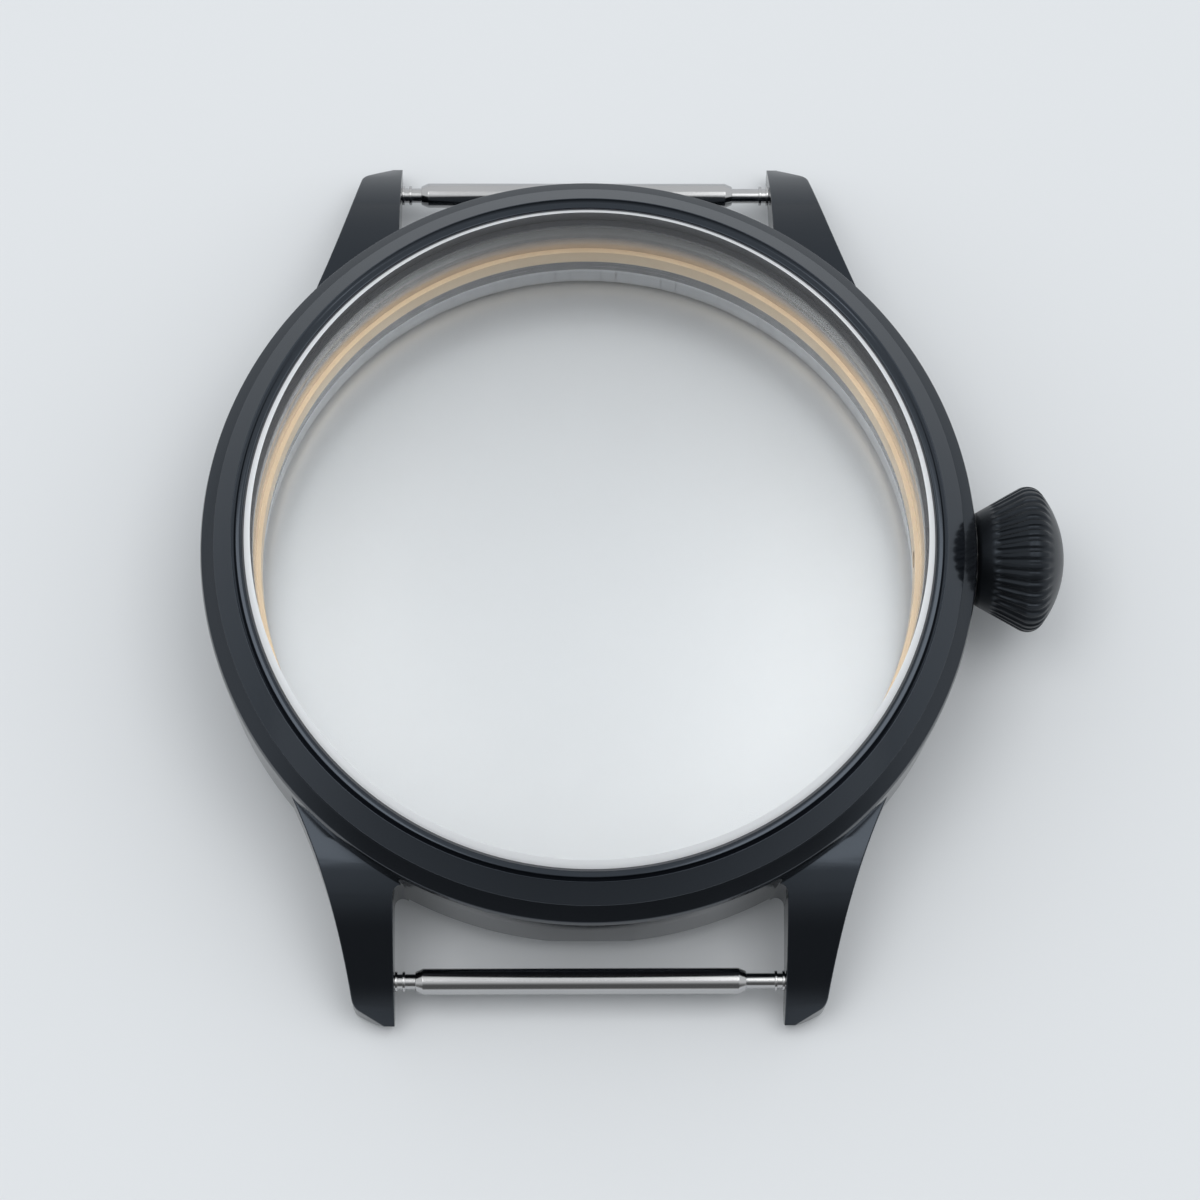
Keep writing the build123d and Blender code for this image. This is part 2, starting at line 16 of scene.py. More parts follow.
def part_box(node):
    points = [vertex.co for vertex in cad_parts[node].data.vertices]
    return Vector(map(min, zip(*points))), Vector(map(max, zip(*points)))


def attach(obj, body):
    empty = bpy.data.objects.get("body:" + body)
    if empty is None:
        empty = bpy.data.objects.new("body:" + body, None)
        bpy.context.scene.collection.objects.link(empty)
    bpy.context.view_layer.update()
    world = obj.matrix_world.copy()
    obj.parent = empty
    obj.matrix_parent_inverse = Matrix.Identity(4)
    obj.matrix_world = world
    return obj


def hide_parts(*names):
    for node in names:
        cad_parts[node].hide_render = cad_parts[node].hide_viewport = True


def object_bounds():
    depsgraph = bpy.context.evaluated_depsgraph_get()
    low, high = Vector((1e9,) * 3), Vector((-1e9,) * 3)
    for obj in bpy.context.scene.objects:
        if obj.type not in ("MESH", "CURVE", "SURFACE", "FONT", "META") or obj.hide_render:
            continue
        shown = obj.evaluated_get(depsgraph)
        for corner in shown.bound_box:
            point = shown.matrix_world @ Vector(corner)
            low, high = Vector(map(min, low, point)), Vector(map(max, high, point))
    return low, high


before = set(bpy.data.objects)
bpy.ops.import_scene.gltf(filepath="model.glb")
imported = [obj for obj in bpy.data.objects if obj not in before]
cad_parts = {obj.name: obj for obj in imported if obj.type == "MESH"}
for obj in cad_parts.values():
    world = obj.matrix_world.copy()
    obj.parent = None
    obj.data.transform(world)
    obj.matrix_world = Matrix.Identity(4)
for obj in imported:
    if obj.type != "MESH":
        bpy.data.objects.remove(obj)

CAD_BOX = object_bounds()
MM = 0.001
RING_STEPS = 360        # sides of the large turned rings
SMALL_STEPS = 96        # sides of the pins and tubes
DRILL_STEPS = 48        # sides of a drill
ARC_STEPS = 4           # sides of a rounded edge
BEND_STEPS = 10         # sides of a short bend
CURVE_STEPS = 40        # sides of a long curve
SHARP_ANGLE = radians(32)       # an edge that turns more stays sharp
EVEN_WEIGHT = 80        # how far the large faces rule the shading
WELD = 1e-7             # points closer than this are one
PAST = 1.0 * MM         # how far a tool runs past what it cuts
MOST_OF_SIDE = 0.49     # a rounding takes at most this share of a side
HALF_GAP = 11.0 * MM    # half the width of the strap
BAR_Y = 23.82 * MM      # how far the spring bars lie from the middle
BAR_Z = -3.76 * MM
STEM_Z = -0.60 * MM     # height of the crown's axis
OPENING_IN = 2.15 * MM  # the opening's wall lies this far in from the bezel's edge

log = logging.getLogger("watch_case")

Point = tuple[float, float]
Corner = tuple[float, float, float]
Place = tuple[float, float, float]
Colour = tuple[float, float, float]
Piece = bpy.types.Object
Socket = bpy.types.NodeSocket


class Spin(Enum):
    """The axis that a piece is turned round."""

    CASE = "Z"
    CROWN = "X"


class Cut(Enum):
    """What a tool does to a piece."""

    JOIN = "UNION"
    TAKE = "DIFFERENCE"


class Grain(Enum):
    """How the fine marks of a finish run."""

    EVEN = "even"
    ROUND_CASE = "round the case axis"


# Outlines


def rounded(corners: list[Corner], steps: int = ARC_STEPS) -> list[Point]:
    """Rounds the corners of an outline.

    Args:
        corners: Points of the outline in order, each with the radius of its rounding.
        steps: Sides of each rounding.

    Returns:
        The points of the outline, in the same order.
    """
    points: list[Point] = []
    for i, (a, b, radius) in enumerate(corners):
        here = Vector((a, b))
        if radius <= 0:
            points.append((a, b))
            continue
        back = Vector(corners[i - 1][:2]) - here
        ahead = Vector(corners[(i + 1) % len(corners)][:2]) - here
        most = min(MOST_OF_SIDE * back.length, MOST_OF_SIDE * ahead.length)
        reach = min(radius / tan(back.angle(ahead) / 2), most)
        start, end = here + back.normalized() * reach, here + ahead.normalized() * reach
        for k in range(steps + 1):
            points.append(bezier_point(start, here, end, k / steps))
    return points


def inset(edge: float, top: float, *corners: Corner) -> list[Corner]:
    """Places corners that are given inwards from an edge and down from a top.

    Args:
        edge: Radius of the edge.
        top: Height of the top.
        corners: How far in, how far down, and the radius of the rounding, for each corner.

    Returns:
        The corners by radius and height.
    """
    return [(edge - inwards, top - down, radius) for inwards, down, radius in corners]


def bezier_point(a: Vector, b: Vector, c: Vector, t: float) -> Point:
    """Gives the point at t, from 0 to 1, of the curve from a to c that is pulled towards b."""
    spot = a * (1 - t) ** 2 + b * 2 * t * (1 - t) + c * t * t
    return spot.x, spot.y


def curve(a: Point, b: Point, c: Point, steps: int = CURVE_STEPS) -> list[Point]:
    """Gives the points of a curve from a to c whose tangents meet at b."""
    return [bezier_point(Vector(a), Vector(b), Vector(c), k / steps) for k in range(steps + 1)]


def arc_through(a: Point, b: Point, c: Point, steps: int = CURVE_STEPS) -> list[Point]:
    """Gives the points of the circle's arc from a over b to c.

    Args:
        a: First point.
        b: A point on the way.
        c: Last point.
        steps: Sides of the arc.

    Returns:
        The points in order.
    """
    (ax, ay), (bx, by), (cx, cy) = a, b, c
    d = 2 * (ax * (by - cy) + bx * (cy - ay) + cx * (ay - by))
    ux = ((ax**2 + ay**2) * (by - cy) + (bx**2 + by**2) * (cy - ay) + (cx**2 + cy**2) * (ay - by)) / d
    uy = ((ax**2 + ay**2) * (cx - bx) + (bx**2 + by**2) * (ax - cx) + (cx**2 + cy**2) * (bx - ax)) / d
    radius = sqrt((ax - ux) ** 2 + (ay - uy) ** 2)
    first = atan2(ay - uy, ax - ux)
    turn = atan2(cy - uy, cx - ux) - first
    turn = (turn + pi) % (2 * pi) - pi
    return [
        (ux + radius * cos(first + turn * k / steps), uy + radius * sin(first + turn * k / steps))
        for k in range(steps + 1)
    ]


def height_on(points: list[Point], a: float) -> float:
    """Reads a line of points at the first coordinate a.

    Args:
        points: Points whose first coordinate rises.
        a: Where to read it.

    Returns:
        The second coordinate there, or that of the nearest end.
    """
    if a <= points[0][0]:
        return points[0][1]
    for (a0, b0), (a1, b1) in zip(points, points[1:]):
        if a <= a1:
            return b0 + (b1 - b0) * (a - a0) / (a1 - a0)
    return points[-1][1]


# Meshes


def linked(name: str, mesh: bpy.types.Mesh) -> Piece:
    """Puts a mesh in the scene as an object at the origin.

    Args:
        name: Name of the object.
        mesh: Its mesh.

    Returns:
        The new object.
    """
    piece = bpy.data.objects.new(name, mesh)
    bpy.context.scene.collection.objects.link(piece)
    return piece


def piece_from(name: str, verts: list, faces: list) -> Piece:
    """Makes a closed piece whose faces point outwards.

    Args:
        name: Name of the piece.
        verts: Places of its points.
        faces: Faces as tuples of point numbers.

    Returns:
        The new object, linked to the scene.
    """
    mesh = bpy.data.meshes.new(name)
    mesh.from_pydata(verts, [], faces)
    shape = bmesh.new()
    shape.from_mesh(mesh)
    bmesh.ops.remove_doubles(shape, verts=shape.verts, dist=WELD)
    bmesh.ops.recalc_face_normals(shape, faces=shape.faces)
    shape.to_mesh(mesh)
    shape.free()
    return linked(name, mesh)


def turned(
    name: str,
    outline: list[Point],
    spin: Spin = Spin.CASE,
    centre: Place = (0.0, 0.0, 0.0),
    steps: int = RING_STEPS,
) -> Piece:
    """Turns an outline round an axis.

    Args:
        name: Name of the piece.
        outline: Points of radius and place along the axis. It closes on itself, or both ends are on the axis.
        spin: The axis.
        centre: A point of the axis.
        steps: Sides of the turned piece.

    Returns:
        The new object.
    """
    verts, faces = [], []
    count = len(outline)
    for k in range(steps):
        c, s = cos(2 * pi * k / steps), sin(2 * pi * k / steps)
        for r, along in outline:
            spot = (r * c, r * s, along) if spin is Spin.CASE else (along, r * s, r * c)
            verts.append([spot[n] + centre[n] for n in range(3)])
    open_ended = outline[0][0] < WELD and outline[-1][0] < WELD
    for k in range(steps):
        near, far = k * count, (k + 1) % steps * count
        for i in range(count - 1 if open_ended else count):
            j = (i + 1) % count
            faces.append((near + i, near + j, far + j, far + i))
    return piece_from(name, verts, faces)


def prism(name: str, plan: list[Point], low: float, high: float) -> Piece:
    """Makes an upright block from its plan.

    Args:
        name: Name of the piece.
        plan: Points of the plan, in order.
        low: Height of its underside.
        high: Height of its top.

    Returns:
        The new object.
    """
    count = len(plan)
    verts = [(x, y, low) for x, y in plan] + [(x, y, high) for x, y in plan]
    faces = [tuple(range(count)), tuple(range(count, 2 * count))]
    faces += [(i, (i + 1) % count, count + (i + 1) % count, count + i) for i in range(count)]
    return piece_from(name, verts, faces)


def drill(radius: float, start: float, end: float, centre: Place) -> Piece:
    """Makes a plain rod along X, to cut a hole with."""
    outline = [(0.0, start), (radius, start), (radius, end), (0.0, end)]
    return turned("drill", outline, Spin.CROWN, centre, DRILL_STEPS)


def mirrored(piece: Piece, name: str, across: tuple[int, int, int]) -> Piece:
    """Copies a piece to the other side.

    Args:
        piece: What to copy.
        name: Name of the copy.
        across: -1 for each coordinate that changes sign, 1 for the others.

    Returns:
        The copy, with its faces outwards.
    """
    mesh = piece.data.copy()
    mesh.transform(Matrix.Diagonal((*across, 1)))
    if across[0] * across[1] * across[2] < 0:
        mesh.flip_normals()
    return linked(name, mesh)


def settle(piece: Piece) -> None:
    """Turns a piece and its modifiers into a plain mesh.

    Args:
        piece: The piece.
    """
    graph = bpy.context.evaluated_depsgraph_get()
    mesh = bpy.data.meshes.new_from_object(
        piece.evaluated_get(graph), preserve_all_data_layers=True, depsgraph=graph
    )
    piece.modifiers.clear()
    piece.data = mesh


def carve(piece: Piece, cut: Cut, *tools: Piece) -> None:
    """Joins tools to a piece, or takes them out of it, and removes them.

    Args:
        piece: The piece.
        cut: Whether the tools are joined or taken out.
        tools: The tools.
    """
    for tool in tools:
        change = piece.modifiers.new("carve", "BOOLEAN")
        change.solver = "EXACT"
        change.operation = cut.value
        change.object = tool
    settle(piece)
    for tool in tools:
        bpy.data.objects.remove(tool)


def smooth(piece: Piece) -> None:
    """Shades a piece smoothly between its sharp edges, with flat faces kept flat.

    Args:
        piece: The piece.
    """
    piece.data.shade_smooth()
    piece.data.set_sharp_from_angle(angle=SHARP_ANGLE)
    even = piece.modifiers.new("even", "WEIGHTED_NORMAL")
    even.mode = "FACE_AREA"
    even.weight = EVEN_WEIGHT
    even.keep_sharp = True
    settle(piece)


# Node trees


class Desk:
    """Lays nodes in a tree and joins them."""

    def __init__(self, tree: bpy.types.NodeTree) -> None:
        """Keeps the tree, emptied."""
        self.tree = tree
        tree.nodes.clear()

    def add(self, kind: str, inputs: dict | None = None, **settings: object) -> bpy.types.Node:
        """Adds a node.

        Args:
            kind: The node's type.
            inputs: For each input, by name or number, a value or the socket that feeds it.
            settings: The node's own settings.

        Returns:
            The new node.
        """
        node = self.tree.nodes.new(kind)
        for key, value in settings.items():
            setattr(node, key, value)
        for key, value in (inputs or {}).items():
            if isinstance(value, Socket):
                self.tree.links.new(value, node.inputs[key])
            else:
                node.inputs[key].default_value = value
        return node

    def math(self, operation: str, *values: object) -> Socket:
        """Adds a Math node and gives its result."""
        return self.add("ShaderNodeMath", dict(enumerate(values)), operation=operation).outputs[0]

    def product(self, *values: object) -> Socket:
        """Multiplies the values, in order, and gives the result."""
        result = self.math("MULTIPLY", values[0], values[1])
        return self.product(result, *values[2:]) if len(values) > 2 else result

    def length(self, arrow: Socket) -> Socket:
        """Gives the length of a vector."""
        return self.add("ShaderNodeVectorMath", {0: arrow}, operation="LENGTH").outputs["Value"]

    def noise(self, place: Socket, size: float, detail: float, roughness: float = 0.5) -> Socket:
        """Gives a noise with spots of about a size."""
        inputs = {"Vector": place, "Scale": 1 / size, "Detail": detail, "Roughness": roughness}
        return self.add("ShaderNodeTexNoise", inputs).outputs["Fac"]

    def ramp(
        self, value: Socket, start: object, end: object, first: float = 0.0, last: float = 1.0
    ) -> Socket:
        """Gives first up to start, last from end on, and a soft change between them."""
        inputs = {"Value": value, "From Min": start, "From Max": end, "To Min": first, "To Max": last}
        return self.add("ShaderNodeMapRange", inputs, interpolation_type="SMOOTHSTEP").outputs["Result"]

    def between(self, value: Socket, low: float, high: float, spread: Point = (0.0, 1.0)) -> Socket:
        """Stretches a value from its spread to the range from low to high."""
        inputs = {"Value": value, "From Min": spread[0], "From Max": spread[1], "To Min": low, "To Max": high}
        return self.add("ShaderNodeMapRange", inputs).outputs["Result"]

    def blend(self, share: Socket, first: Colour, second: Colour) -> Socket:
        """Mixes two colours.

        Args:
            share: How much of the second, from 0 to 1.
            first: The first colour.
            second: The second colour.

        Returns:
            The mixed colour.
        """
        tone = self.add("ShaderNodeMix", {"Factor": share}, data_type="RGBA")
        tone.inputs["A"].default_value = (*first, 1)
        tone.inputs["B"].default_value = (*second, 1)
        return tone.outputs["Result"]


class Rule(Desk):
    """A geometry tree with named inputs, one of them called Finish."""

    def __init__(self, name: str, inputs: dict[str, tuple[str, object]]) -> None:
        """Starts the tree.

        Args:
            name: Name of the tree.
            inputs: The type and the value of each input, by name.
        """
        super().__init__(bpy.data.node_groups.new(name, "GeometryNodeTree"))
        face = self.tree.interface
        face.new_socket("Geometry", in_out="INPUT", socket_type="NodeSocketGeometry")
        self.values: dict[str, object] = {}
        for word, (kind, value) in inputs.items():
            socket = face.new_socket(word, in_out="INPUT", socket_type=kind)
            self.values[socket.identifier] = value
        face.new_socket("Geometry", in_out="OUTPUT", socket_type="NodeSocketGeometry")
        self.given = self.add("NodeGroupInput").outputs

    def run(self, piece: Piece, shape: Socket) -> None:
        """Ends the tree in plain geometry with its finish, and keeps the result as the piece's mesh.

        Args:
            piece: The piece that the tree changes.
            shape: The tree's geometry.
        """
        whole = self.add("GeometryNodeRealizeInstances", {"Geometry": shape}).outputs[0]
        finished = self.add("GeometryNodeSetMaterial", {"Geometry": whole, "Material": self.given["Finish"]})
        self.add("NodeGroupOutput", {0: finished.outputs[0]})
        change = piece.modifiers.new(self.tree.name, "NODES")
        change.node_group = self.tree
        for key, value in self.values.items():
            change[key] = value
        settle(piece)


# Finishes

NOISE_SPREAD = (0.3, 0.7)       # nearly all of a noise's values lie between these
MARK_DETAIL = 3.0               # layers of the noise that makes fine marks
MARK_ROUGHNESS = 0.6
CLOUD_DETAIL = 4.0
CLOUD_SHARE = 0.7               # of the clouds in a finish's colour, and the rest is fine marks
GLOSS_SHARE = 0.5               # of the fine marks in its gloss, and the rest is clouds


def new_material(name: str) -> tuple[bpy.types.Material, Desk, Socket]:
    """Starts a material.

    Args:
        name: Its name.

    Returns:
        The material, its tree, and the place on the piece.
    """
    material = bpy.data.materials.new(name)
    material.use_nodes = True
    desk = Desk(material.node_tree)
    return material, desk, desk.add("ShaderNodeTexCoord").outputs["Object"]


@dataclass(frozen=True)
class Finish:
    """A finish with fine marks in its gloss, its colour and its surface."""

    name: str
    colour: Colour
    second: Colour
    metal: float
    gloss: Point                        # least and greatest roughness
    index: float = 1.5                  # index of refraction
    tint: Colour = (1.0, 1.0, 1.0)      # of what it mirrors
    grain: Grain = Grain.EVEN
    grain_size: float = 0.06 * MM
    cloud_size: float = 3.0 * MM
    bump: float = 0.05
    bump_depth: float = 0.0006 * MM
    # the second colour, faded in by height, paints the gilt ledge's reflection low on the inner wall
    fade: Point | None = None           # heights between which the second colour gives way to the first

    def material(self) -> bpy.types.Material:
        """Builds the material.

        Returns:
            The new material.
        """
        material, desk, place = new_material(self.name)
        marks = desk.noise(self._along(desk, place), self.grain_size, MARK_DETAIL, MARK_ROUGHNESS)
        clouds = desk.noise(place, self.cloud_size, CLOUD_DETAIL)
        # the fade paints the gilt ledge's reflection: the second colour at the foot of the wall, giving way
        # to the first higher up
        if self.fade:
            height = desk.add("ShaderNodeSeparateXYZ", {"Vector": place}).outputs["Z"]
            share = desk.ramp(height, *self.fade, 1.0, 0.0)
        else:
            rest = desk.math("MULTIPLY", marks, 1 - CLOUD_SHARE)
            share = desk.math("MULTIPLY_ADD", clouds, CLOUD_SHARE, rest)
        rest = desk.math("MULTIPLY", clouds, 1 - GLOSS_SHARE)
        wear = desk.math("MULTIPLY_ADD", marks, GLOSS_SHARE, rest)
        surface = desk.add(
            "ShaderNodeBump", {"Height": marks, "Strength": self.bump, "Distance": self.bump_depth}
        ).outputs["Normal"]
        shader = desk.add(
            "ShaderNodeBsdfPrincipled",
            {
                "Base Color": desk.blend(share, self.colour, self.second),
                "Roughness": desk.between(wear, *self.gloss, NOISE_SPREAD),
                "Normal": surface,
                "Metallic": self.metal,
                "IOR": self.index,
                "Specular Tint": (*self.tint, 1),
            },
        )
        desk.add("ShaderNodeOutputMaterial", {"Surface": shader.outputs["BSDF"]})
        return material

    def _along(self, desk: Desk, place: Socket) -> Socket:
        """Gives the coordinate that the fine marks follow.

        Args:
            desk: The material's tree.
            place: The place on the piece.

        Returns:
            A vector that stays the same along each mark.
        """
        if self.grain is Grain.EVEN:
            return place
        parts = desk.add("ShaderNodeSeparateXYZ", {"Vector": place}).outputs
        flat = desk.add("ShaderNodeCombineXYZ", {"X": parts["X"], "Y": parts["Y"]}).outputs[0]
        return desk.add("ShaderNodeCombineXYZ", {"X": desk.length(flat), "Z": parts["Z"]}).outputs[0]


@dataclass(frozen=True)
class ClearGlass:
    """Clear flat glass, which mirrors a little and doesn't bend what is seen through it."""

    name: str
    index: float
    gloss: Point                        # least and greatest roughness, from fine smears
    tint: Colour = (1.0, 1.0, 1.0)      # of what it mirrors
    smear_size: float = 2.0 * MM

    def material(self) -> bpy.types.Material:
        """Builds the material.

        Returns:
            The new material.
        """
        material, desk, place = new_material(self.name)
        rough = desk.between(desk.noise(place, self.smear_size, MARK_DETAIL), *self.gloss)
        clear = desk.add("ShaderNodeBsdfTransparent", {"Color": (1, 1, 1, 1)}).outputs[0]
        mirror = desk.add(
            "ShaderNodeBsdfAnisotropic", {"Color": (*self.tint, 1), "Roughness": rough}
        ).outputs[0]
        share = desk.add("ShaderNodeFresnel", {"IOR": self.index}).outputs[0]
        inside = desk.add("ShaderNodeNewGeometry").outputs["Backfacing"]
        lamp = desk.add("ShaderNodeLightPath").outputs["Is Shadow Ray"]
        outside = desk.math("SUBTRACT", 1.0, desk.math("MAXIMUM", inside, lamp))
        share = desk.math("MULTIPLY", share, outside)
        mix = desk.add("ShaderNodeMixShader", {0: share, 1: clear, 2: mirror}).outputs[0]
        desk.add("ShaderNodeOutputMaterial", {"Surface": mix})
        return material


COAT_TINT = (0.72, 0.84, 1.0)
BLACK_COAT = Finish(
    "black_coat", (0.0045, 0.0052, 0.0066), (0.0070, 0.0080, 0.0098), 0.0, (0.10, 0.17), tint=COAT_TINT
)
BLACK_BEZEL = Finish(
    "black_bezel", (0.0032, 0.0038, 0.0052), (0.0050, 0.0060, 0.0080), 0.0, (0.07, 0.12), index=1.58,
    tint=COAT_TINT, grain=Grain.ROUND_CASE, grain_size=0.08 * MM,
)
# Black inner wall with a painted reflection of the gilt ledge: bronze at its foot, fading to black 2 mm up
WALL_WITH_PAINTED_GILT_REFLECTION = Finish(
    "wall_with_painted_gilt_reflection", (0.0060, 0.0070, 0.0085), (0.66, 0.49, 0.34), 0.0, (0.13, 0.19), index=1.70,
    grain=Grain.ROUND_CASE, grain_size=0.08 * MM, bump=0.0, fade=(0.2 * MM, 2.0 * MM),
)
GREY_BORE = Finish(
    "grey_bore", (0.11, 0.115, 0.13), (0.15, 0.155, 0.17), 0.0, (0.20, 0.30),
    grain=Grain.ROUND_CASE, grain_size=0.08 * MM,
)
BLACK_CROWN = Finish(
    "black_crown", (0.0042, 0.0048, 0.0058), (0.0066, 0.0074, 0.0086), 0.0, (0.28, 0.40), index=1.40,
    tint=COAT_TINT, bump=0.12,
)
BLACK_BACK = Finish(
    "black_back", (0.0060, 0.0064, 0.0074), (0.0095, 0.0100, 0.0112), 0.0, (0.26, 0.36),
    tint=COAT_TINT, grain=Grain.ROUND_CASE, grain_size=0.10 * MM, bump=0.15,
)
GILT = Finish(
    "gilt", (0.79, 0.63, 0.43), (0.69, 0.53, 0.35), 0.60, (0.30, 0.44), grain=Grain.ROUND_CASE, bump=0.2
)
BRIGHT_STEEL = Finish(
    "bright_steel", (0.52, 0.52, 0.52), (0.44, 0.44, 0.45), 1.0, (0.11, 0.17), grain_size=0.05 * MM
)
PLAIN_STEEL = Finish("plain_steel", (0.48, 0.48, 0.49), (0.40, 0.40, 0.41), 1.0, (0.28, 0.40))
DRAWN_WIRE = Finish("drawn_wire", (0.40, 0.40, 0.41), (0.32, 0.32, 0.33), 1.0, (0.30, 0.42))
BLACK_RUBBER = Finish(
    "black_rubber", (0.012, 0.012, 0.012), (0.020, 0.020, 0.020), 0.0, (0.55, 0.75), bump=0.3
)
PALE_NYLON = Finish("pale_nylon", (0.66, 0.69, 0.73), (0.76, 0.79, 0.82), 0.0, (0.35, 0.5))
DARK_NYLON = Finish("dark_nylon", (0.035, 0.040, 0.050), (0.055, 0.061, 0.073), 0.0, (0.35, 0.5))
# White on the polished bevel, a painted highlight for the bright floor and lamps seen through it
BEVEL_PAINTED_LIGHT = Finish(
    "bevel_painted_light", (0.90, 0.92, 0.95), (0.94, 0.96, 0.98), 0.0, (0.10, 0.16), cloud_size=8 * MM
)
FRONT_GLASS = ClearGlass("front_glass_clear", 1.52, (0.16, 0.19))
REAR_GLASS = ClearGlass("rear_glass_clear", 2.65, (0.20, 0.24), tint=(0.92, 0.97, 1.0))


def finish_ring(ring: Piece, outer: bpy.types.Material, inner: Finish, reach: float, low: float) -> None:
    """Gives a ring its finish, and its inner wall another.

    Args:
        ring: The ring.
        outer: The material of most of it.
        inner: The finish of the inner wall.
        reach: Radius that the inner wall's faces lie within.
        low: Height that they lie above.
    """
    ring.data.materials.clear()
    ring.data.materials.append(outer)
    ring.data.materials.append(inner.material())
    for face in ring.data.polygons:
        middle = face.center
        inside = sqrt(middle.x**2 + middle.y**2) < reach and middle.z > low
        face.material_index = 1 if inside else 0


def fitted(piece: Piece, body: str, slot: str, *nodes: str) -> Piece:
    """Ties a finished piece to the frame.

    Args:
        piece: The piece.
        body: The body that it rides on.
        slot: The record's material slot; not used.
        nodes: The nodes that it stands for.

    Returns:
        The piece.
    """
    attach(piece, body)
    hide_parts(*nodes)
    return piece


def repainted(finish: Finish, *nodes: str) -> list[Piece]:
    """Gives nodes that are kept as packed a better material.

    Args:
        finish: Their finish.
        nodes: Their names.

    Returns:
        The nodes' objects.
    """
    material = finish.material()
    kept = [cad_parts[name] for name in nodes]
    for node in kept:
        node.data.materials.clear()
        node.data.materials.append(material)
    return kept


# Studio


@dataclass
class Studio:
    """The pale floor, the soft lights and the camera of the photograph."""

    camera_place: Place = (-0.003551, -0.062794, 0.200737)
    camera_target: Place = (0.000633, -0.002585, 0.0)
    camera_roll: float = 3.754              # degrees
    lens: float = 110.56                    # mm
    sensor: float = 36.0                    # mm
    sight: Point = (0.01, 10.0)             # nearest and farthest that the camera sees
    floor_reach: float = 1.2
    floor_thick: float = 2.0 * MM
    floor_colour: Colour = (0.762, 0.786, 0.812)
    floor_gloss: float = 0.9                # roughness
    floor_index: float = 1.2
    floor_mottle: float = 0.015             # share by which its colour varies
    mottle_size: float = 1 / 14
    sky_colour: Colour = (0.97, 0.99, 1.0)
    sky_strength: float = 0.87
    dim_strength: float = 0.13              # above the horizon on the photographer's side
    dim: Point = (-0.72, -0.24)             # Y of the directions where the dim side ends
    haze: Point = (-0.05, 0.25)             # Z of the directions where it starts
    softbox_place: Place = (0.170, 0.03, 0.50)      # of the one on the right
    softbox_size: Point = (0.26, 0.27)
    softbox_power: float = 0.50             # watts, of each
    softbox_colour: Colour = (1.0, 0.99, 0.98)

    def build(self) -> None:
        """Makes the camera, the floor and the lights."""
        self._camera()
        self._floor()
        self._sky()
        self._softboxes()
        bpy.context.scene.view_settings.view_transform = "Standard"

    def _camera(self) -> None:
        """Sets the camera at the photograph's angle."""
        camera = bpy.data.objects.new("camera", bpy.data.cameras.new("camera"))
        camera.data.lens = self.lens
        camera.data.sensor_width = self.sensor
        camera.data.clip_start, camera.data.clip_end = self.sight
        place = Vector(self.camera_place)
        camera.location = place
        camera.rotation_mode = "QUATERNION"
        aim = (Vector(self.camera_target) - place).to_track_quat("-Z", "Y")
        camera.rotation_quaternion = aim @ Quaternion((0, 0, 1), radians(self.camera_roll))
        bpy.context.scene.collection.objects.link(camera)
        bpy.context.scene.camera = camera

    def _floor(self) -> None:
        """Lays the pale floor that the back rests on."""
        reach, level = self.floor_reach, CAD_BOX[0].z
        plan = [(-reach, -reach), (reach, -reach), (reach, reach), (-reach, reach)]
        floor = prism("floor", plan, level - self.floor_thick, level)
        material, desk, place = new_material("pale_paper")
        darker, lighter = (
            tuple(min(1.0, part * (1 + change)) for part in self.floor_colour)
            for change in (-self.floor_mottle, self.floor_mottle)
        )
        tone = desk.blend(desk.noise(place, self.mottle_size, MARK_DETAIL), darker, lighter)
        gloss, index = self.floor_gloss, self.floor_index
        shader = desk.add("ShaderNodeBsdfPrincipled", {"Base Color": tone, "Roughness": gloss, "IOR": index})
        desk.add("ShaderNodeOutputMaterial", {"Surface": shader.outputs["BSDF"]})
        floor.data.materials.append(material)

    def _sky(self) -> None:
        """Fills the room with soft light, weakest on the photographer's side."""
        world = bpy.data.worlds.new("room")
        bpy.context.scene.world = world
        world.use_nodes = True
        desk = Desk(world.node_tree)
        way = desk.add("ShaderNodeTexCoord").outputs["Generated"]
        parts = desk.add("ShaderNodeSeparateXYZ", {"Vector": way}).outputs
        front = desk.ramp(parts["Y"], *self.dim, 1.0, 0.0)
        above = desk.ramp(parts["Z"], *self.haze)
        strength = desk.between(desk.math("MULTIPLY", front, above), self.sky_strength, self.dim_strength)
        light = desk.add("ShaderNodeBackground", {"Color": (*self.sky_colour, 1), "Strength": strength})
        seen = desk.add("ShaderNodeBackground", {"Color": (*self.floor_colour, 1), "Strength": 1.0})
        looks = desk.add("ShaderNodeLightPath").outputs["Is Camera Ray"]
        mix = desk.add("ShaderNodeMixShader", {0: looks, 1: light.outputs[0], 2: seen.outputs[0]})
        desk.add("ShaderNodeOutputWorld", {"Surface": mix.outputs[0]})

    def _softboxes(self) -> None:
        """Hangs a large soft lamp on each side, above."""
        x, y, z = self.softbox_place
        for side in (1, -1):
            lamp = bpy.data.lights.new("softbox", "AREA")
            lamp.shape = "RECTANGLE"
            lamp.size, lamp.size_y = self.softbox_size
            lamp.energy = self.softbox_power
            lamp.color = self.softbox_colour
            holder = bpy.data.objects.new("softbox", lamp)
            holder.location = (side * x, y, z)
            bpy.context.scene.collection.objects.link(holder)


# The case


